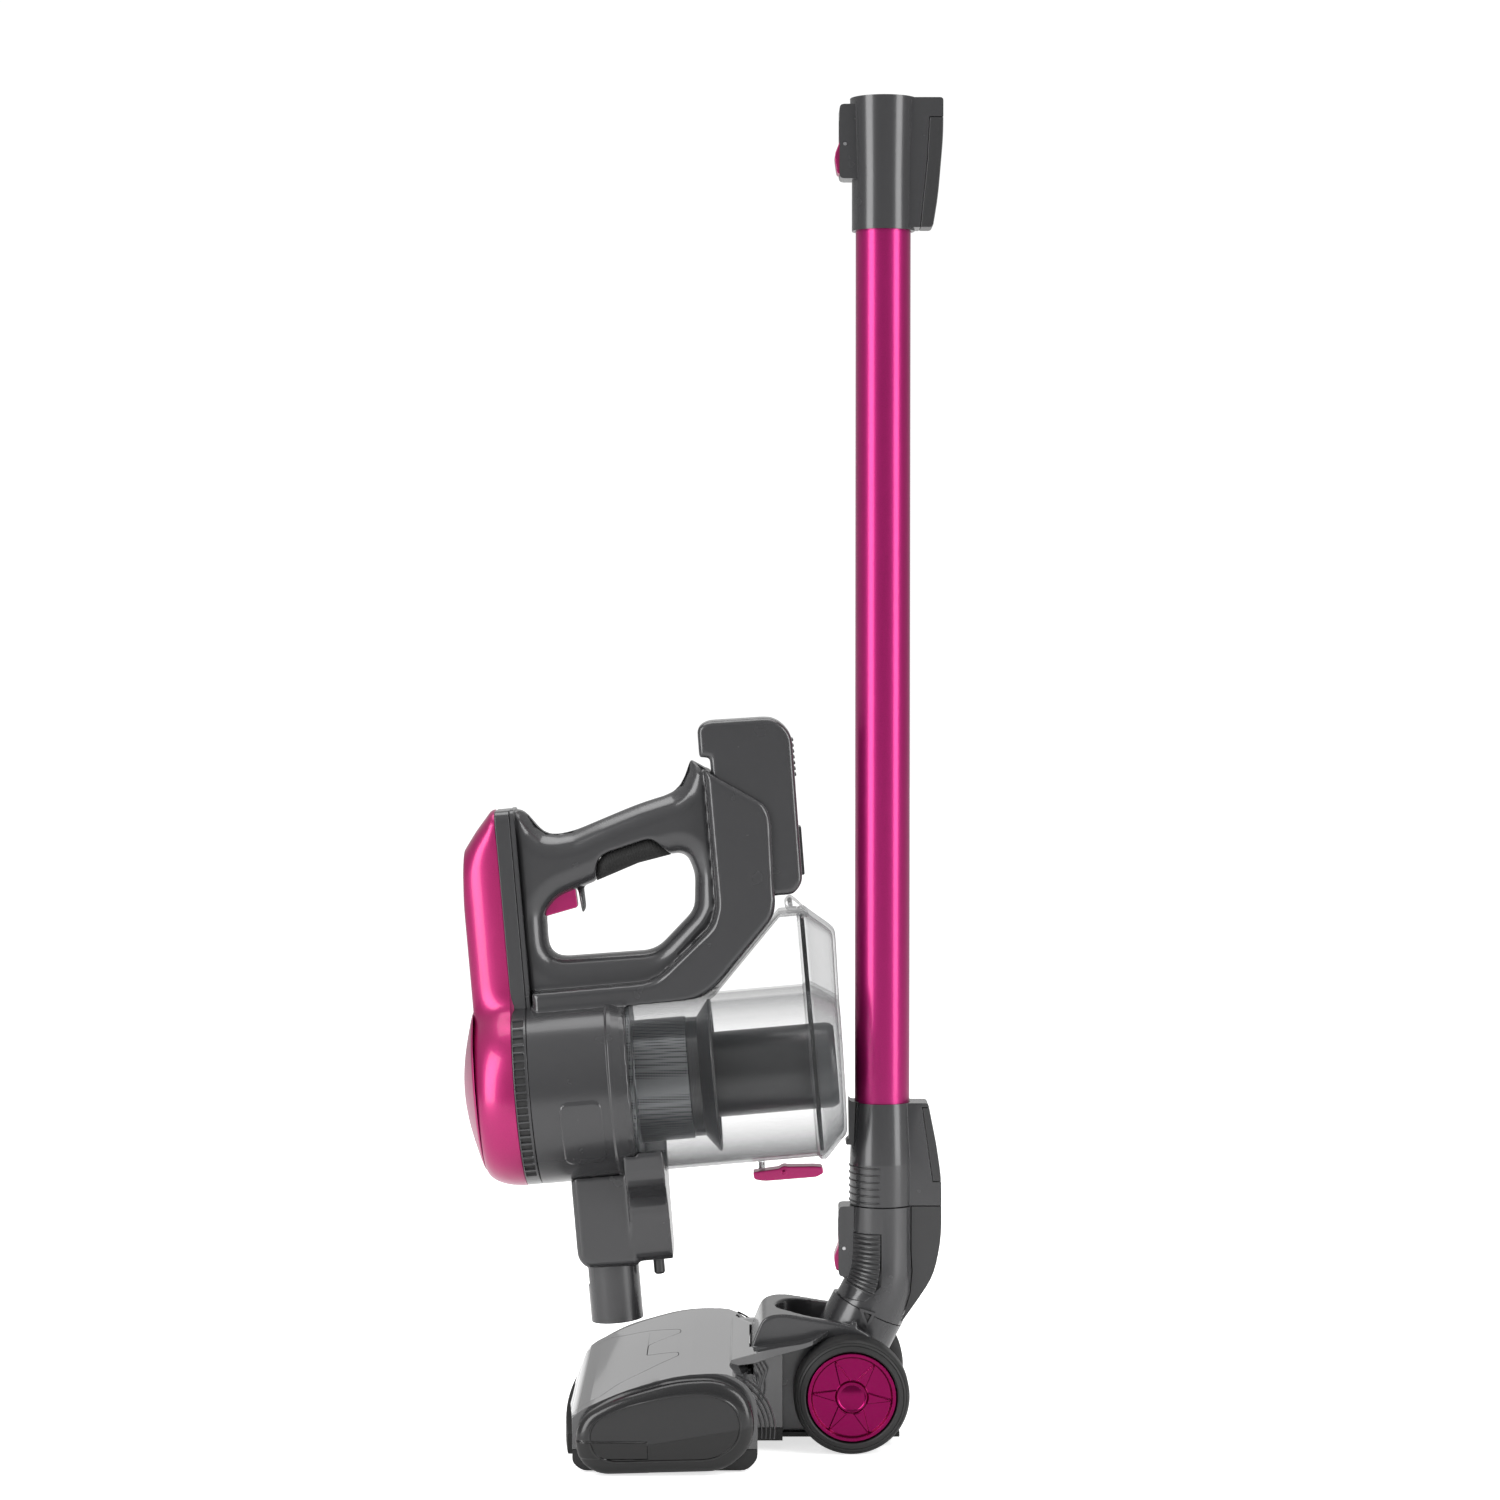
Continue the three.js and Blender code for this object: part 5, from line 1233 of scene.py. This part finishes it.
@dataclass
class DustBin:
    """Clear bin with its raised hopper, and the hinged clear door with its seal and lever."""

    plane: Leaned
    radius: float = 56.0
    wall: float = 1.8
    hopper: float = 27.0
    door_lean: float = 0.026
    knuckle: float = 18.4

    def ring(self, u: np.ndarray, top: np.ndarray, grow: float) -> np.ndarray:
        """Rings of a circle whose top is raised to a flat between the hopper's sides.

        Height over the hopper is the larger of the circle's own and the flat's, so the two meet.

        Args:
            u: Where each ring stands.
            top: How high each ring's flat is.
            grow: How far the rings stand outside the bin's own radius and hopper.

        Returns:
            Points as (ring, point, xyz).
        """
        r, h = self.radius + grow, self.hopper + grow
        arc = np.linspace(np.pi / 2 - math.asin(h / r), np.pi / 2 + math.asin(h / r) - CIRCLE, 140)
        side = np.linspace(0, 1, 14)[1:]
        y = np.concatenate([r * np.cos(arc), np.full(13, -h), np.linspace(-h, h, 40)[1:-1], np.full(13, h)])
        foot = math.sqrt(r * r - h * h)
        flat = np.maximum(top + grow, foot)[:, None]
        over = np.maximum(np.sqrt(r * r - np.linspace(-h, h, 40)[1:-1] ** 2)[None] + 0 * flat, flat)
        over = np.minimum(over, np.maximum(flat, r))
        wall_up = foot + (flat - foot) * side[None]
        below = np.broadcast_to(r * np.sin(arc), (len(u), 140))
        z = np.concatenate([below, wall_up, over, wall_up[:, ::-1]], 1)
        return np.stack([np.broadcast_to(u[:, None], z.shape), np.broadcast_to(y, z.shape), z], -1)

    def build(self) -> None:
        """Makes the bin, door, seal and lever."""
        u = np.concatenate([np.linspace(-41.5, 6, 20), np.linspace(7, 60, 60), np.linspace(60.5, 69, 12)])
        top = np.interp(u, [-42, 8, 14.6, 55.8, 58, 69], [20, 49, 53.8, 96, 98.2, 98.2])
        rings = np.concatenate([self.ring(u, top, 0), self.ring(u[::-1], top[::-1], -self.wall)])
        shape = self.plane.place(skin(rings, ring_loop=True))
        surface_piece("dust_bin_clear", shape, CLEAR, "handheld", ("dust_bin",), 32.0)
        self.door()
        edged_copy("door_seal", RUBBER, 0.3)
        moulded_copy("door_latch", PINK, 0.4, 6)

    def door(self) -> None:
        """Makes the door as rings that step in at the rim and taper to a flat face, leaning with the wand."""
        rim, face = 70.4, 89.4
        u = np.array([rim, rim + 1.2, rim + 3.6, rim + 4.6, face - 2.2, face - 0.7, face])
        grow = np.array([1.6, 2.0, 2.0, 1.2, -10.5, -12.2, -14.0])
        fine = np.linspace(0, 6, 70)
        u, grow = np.interp(fine, range(7), u), np.interp(fine, range(7), grow)
        lean = self.door_lean * smooth(rim + 4, face, u)

        def shell(extra: float, back: float) -> np.ndarray:
            """One side of the door's wall, drawn in by extra and set back by back."""
            rings = keyhole(58, 29, 98.8, 7, 2 - grow + extra, 0 * grow, 260)
            place = (u - back)[:, None] + lean[:, None] * rings[..., 1]
            place = np.minimum(place, face - back + self.door_lean * rings[..., 1])
            return np.stack([place, rings[..., 0], rings[..., 1]], -1)

        outside, inside = shell(0, 0), shell(1.9, 1.7)
        middle = outside[-1:].mean(1, keepdims=True)
        close = middle + (outside[-1:] - middle) * np.linspace(1, 0.03, 16)[1:, None, None]
        inner = inside[-1:].mean(1, keepdims=True)
        inner_close = inner + (inside[-1:] - inner) * np.linspace(0.03, 1, 16)[:-1, None, None]
        rings = np.concatenate([outside, close, inner_close, inside[::-1]])
        lug = rounded([(61.3, 103.4, 3), (65.3, 107.4, 3), (69.9, 103.4, 2), (77, 95, 2), (71.4, 94),
                       (71.4, 98.4), (63.3, 99.8)], 7)
        knuckle = self.plane.place(skin(slab(lug, -self.knuckle, self.knuckle, 0.6)))
        surface_piece("door_knuckle", knuckle, CLEAR, "bin_door")
        shape = self.plane.place(skin(rings, ring_loop=True))
        surface_piece("bin_door_clear", shape, CLEAR, "bin_door", ("bin_door",), 28.0)


@dataclass
class Battery:
    """Battery case that slides out of the leg, with grip ridges and a latch plate."""

    plane: Leaned
    ridges: int = 7
    highest: float = 204.0
    pitch: float = 3.6
    half: float = 0.9

    def build(self) -> None:
        """Makes the case, cells, latch and the ridges near its top."""
        moulded_copy("battery_case", SHELL, 0.9, 8)
        edged_copy("cell_pack", CAN, 0.8)
        edged_copy("battery_latch", TRIM, 0.5)
        ridges = []
        for k in range(self.ridges):
            v = self.highest - self.pitch * k
            low, high = v - self.half, v + self.half
            outline = rounded([(72.5, low), (76.1, low, 0.7), (76.1, high, 0.7), (72.5, high)], 5)
            ridges.append(skin(slab(outline, -12, 12, 0.5)))
        surface_piece("battery_ridges", self.plane.place(joined(ridges)), TRIM, "battery")


@dataclass
class Handheld:
    """The whole handheld unit: body, cap, vents, bin and battery."""

    def build(self) -> None:
        """Makes every sub-assembly in the leaned plane."""
        plane = Leaned()
        for part in (RearCap(plane), VentBand(plane), MotorBody(plane), DustBin(plane), Battery(plane)):
            part.build()


# ---------------------------------------------------------------- studio
@dataclass
class Studio:
    """Pale floor, soft light and the camera."""

    lens: float = 84.7
    film: float = 36.0
    reach: float = 9.0
    air: float = 1.05
    room: Pair = (0.16, 0.6)
    room_span: Pair = (-0.7, 0.9)
    lit: Triple = (0.0, 0.0, 0.35)
    camera: Triple = (0.0297, -2.19, 0.502)
    target: Triple = (0.0297, 0.0, 0.4275)

    def build(self) -> None:
        """Makes the floor, world, lights and camera."""
        self.floor()
        self.world()
        self.light("left_box", (-1.25, -1.05, 0.7), 0.75, 2.0, 28)
        self.light("right_box", (1.35, -0.85, 0.7), 0.6, 2.0, 21)
        self.light("top_box", (0.0, 0.3, 2.0), 1.8, 1.2, 22)
        self.light("back_box", (0.1, 1.9, 0.6), 2.4, 0.7, 1.2)
        data = bpy.data.cameras.new("view")
        data.lens = self.lens
        data.sensor_width = self.film
        camera = bpy.data.objects.new("view", data)
        camera.location = self.camera
        aim = Vector(self.target) - Vector(self.camera)
        camera.rotation_euler = aim.to_track_quat("-Z", "Y").to_euler()
        bpy.context.scene.collection.objects.link(camera)
        bpy.context.scene.camera = camera
        bpy.context.scene.view_settings.view_transform = "Standard"

    def floor(self) -> None:
        """A wide pale floor with a faint unevenness in its tone."""
        mesh = bpy.data.meshes.new("floor")
        corners = [(-self.reach, -self.reach, 0), (self.reach, -self.reach, 0), (self.reach, self.reach, 0),
                   (-self.reach, self.reach, 0)]
        mesh.from_pydata(corners, [], [(0, 1, 2, 3)])
        pale = PaleFloor("pale_floor", Slot.SHELL, (0.93, 0.93, 0.93), (0.9, 0.9, 0.9), (0.6, 0.7), cloud=2.0)
        mesh.materials.append(pale.material())
        floor = bpy.data.objects.new("floor", mesh)
        bpy.context.scene.collection.objects.link(floor)

    def world(self) -> None:
        """White air, while the machine itself is lit by a dimmer room: darkest below and lightest above."""
        world = bpy.data.worlds.new("studio")
        world.use_nodes = True
        tree = world.node_tree
        nodes, links = tree.nodes, tree.links
        room = nodes["Background"]
        split = nodes.new("ShaderNodeSeparateXYZ")
        links.new(nodes.new("ShaderNodeTexCoord").outputs["Generated"], split.inputs["Vector"])
        links.new(remap(tree, split.outputs["Z"], self.room, self.room_span), room.inputs["Strength"])
        room.inputs["Color"].default_value = WHITE
        air = nodes.new("ShaderNodeBackground")
        air.inputs["Color"].default_value = WHITE
        air.inputs["Strength"].default_value = self.air
        pick = nodes.new("ShaderNodeMixShader")
        links.new(nodes.new("ShaderNodeLightPath").outputs["Is Camera Ray"], pick.inputs["Fac"])
        links.new(room.outputs["Background"], pick.inputs[1])
        links.new(air.outputs["Background"], pick.inputs[2])
        links.new(pick.outputs["Shader"], nodes["World Output"].inputs["Surface"])
        bpy.context.scene.world = world

    def light(self, name: str, place: Triple, wide: float, tall: float, power: float) -> None:
        """Adds a soft box that faces the middle of the machine.

        Args:
            name: The light's name.
            place: Where it stands, in metres.
            wide: Its width in metres.
            tall: Its height in metres.
            power: Its power in watts.
        """
        data = bpy.data.lights.new(name, "AREA")
        data.shape = "RECTANGLE"
        data.size, data.size_y = wide, tall
        data.energy = power
        lamp = bpy.data.objects.new(name, data)
        lamp.location = place
        lamp.visible_camera = False
        lamp.rotation_euler = (Vector(self.lit) - Vector(place)).to_track_quat("-Z", "Y").to_euler()
        bpy.context.scene.collection.objects.link(lamp)


def main() -> None:
    """Builds the studio and the machine in order."""
    logging.basicConfig(level=logging.INFO)
    for part in (Studio(), FloorHead(), Neck(), Wand(), Handheld()):
        part.build()


if __name__ == "__main__":
    main()
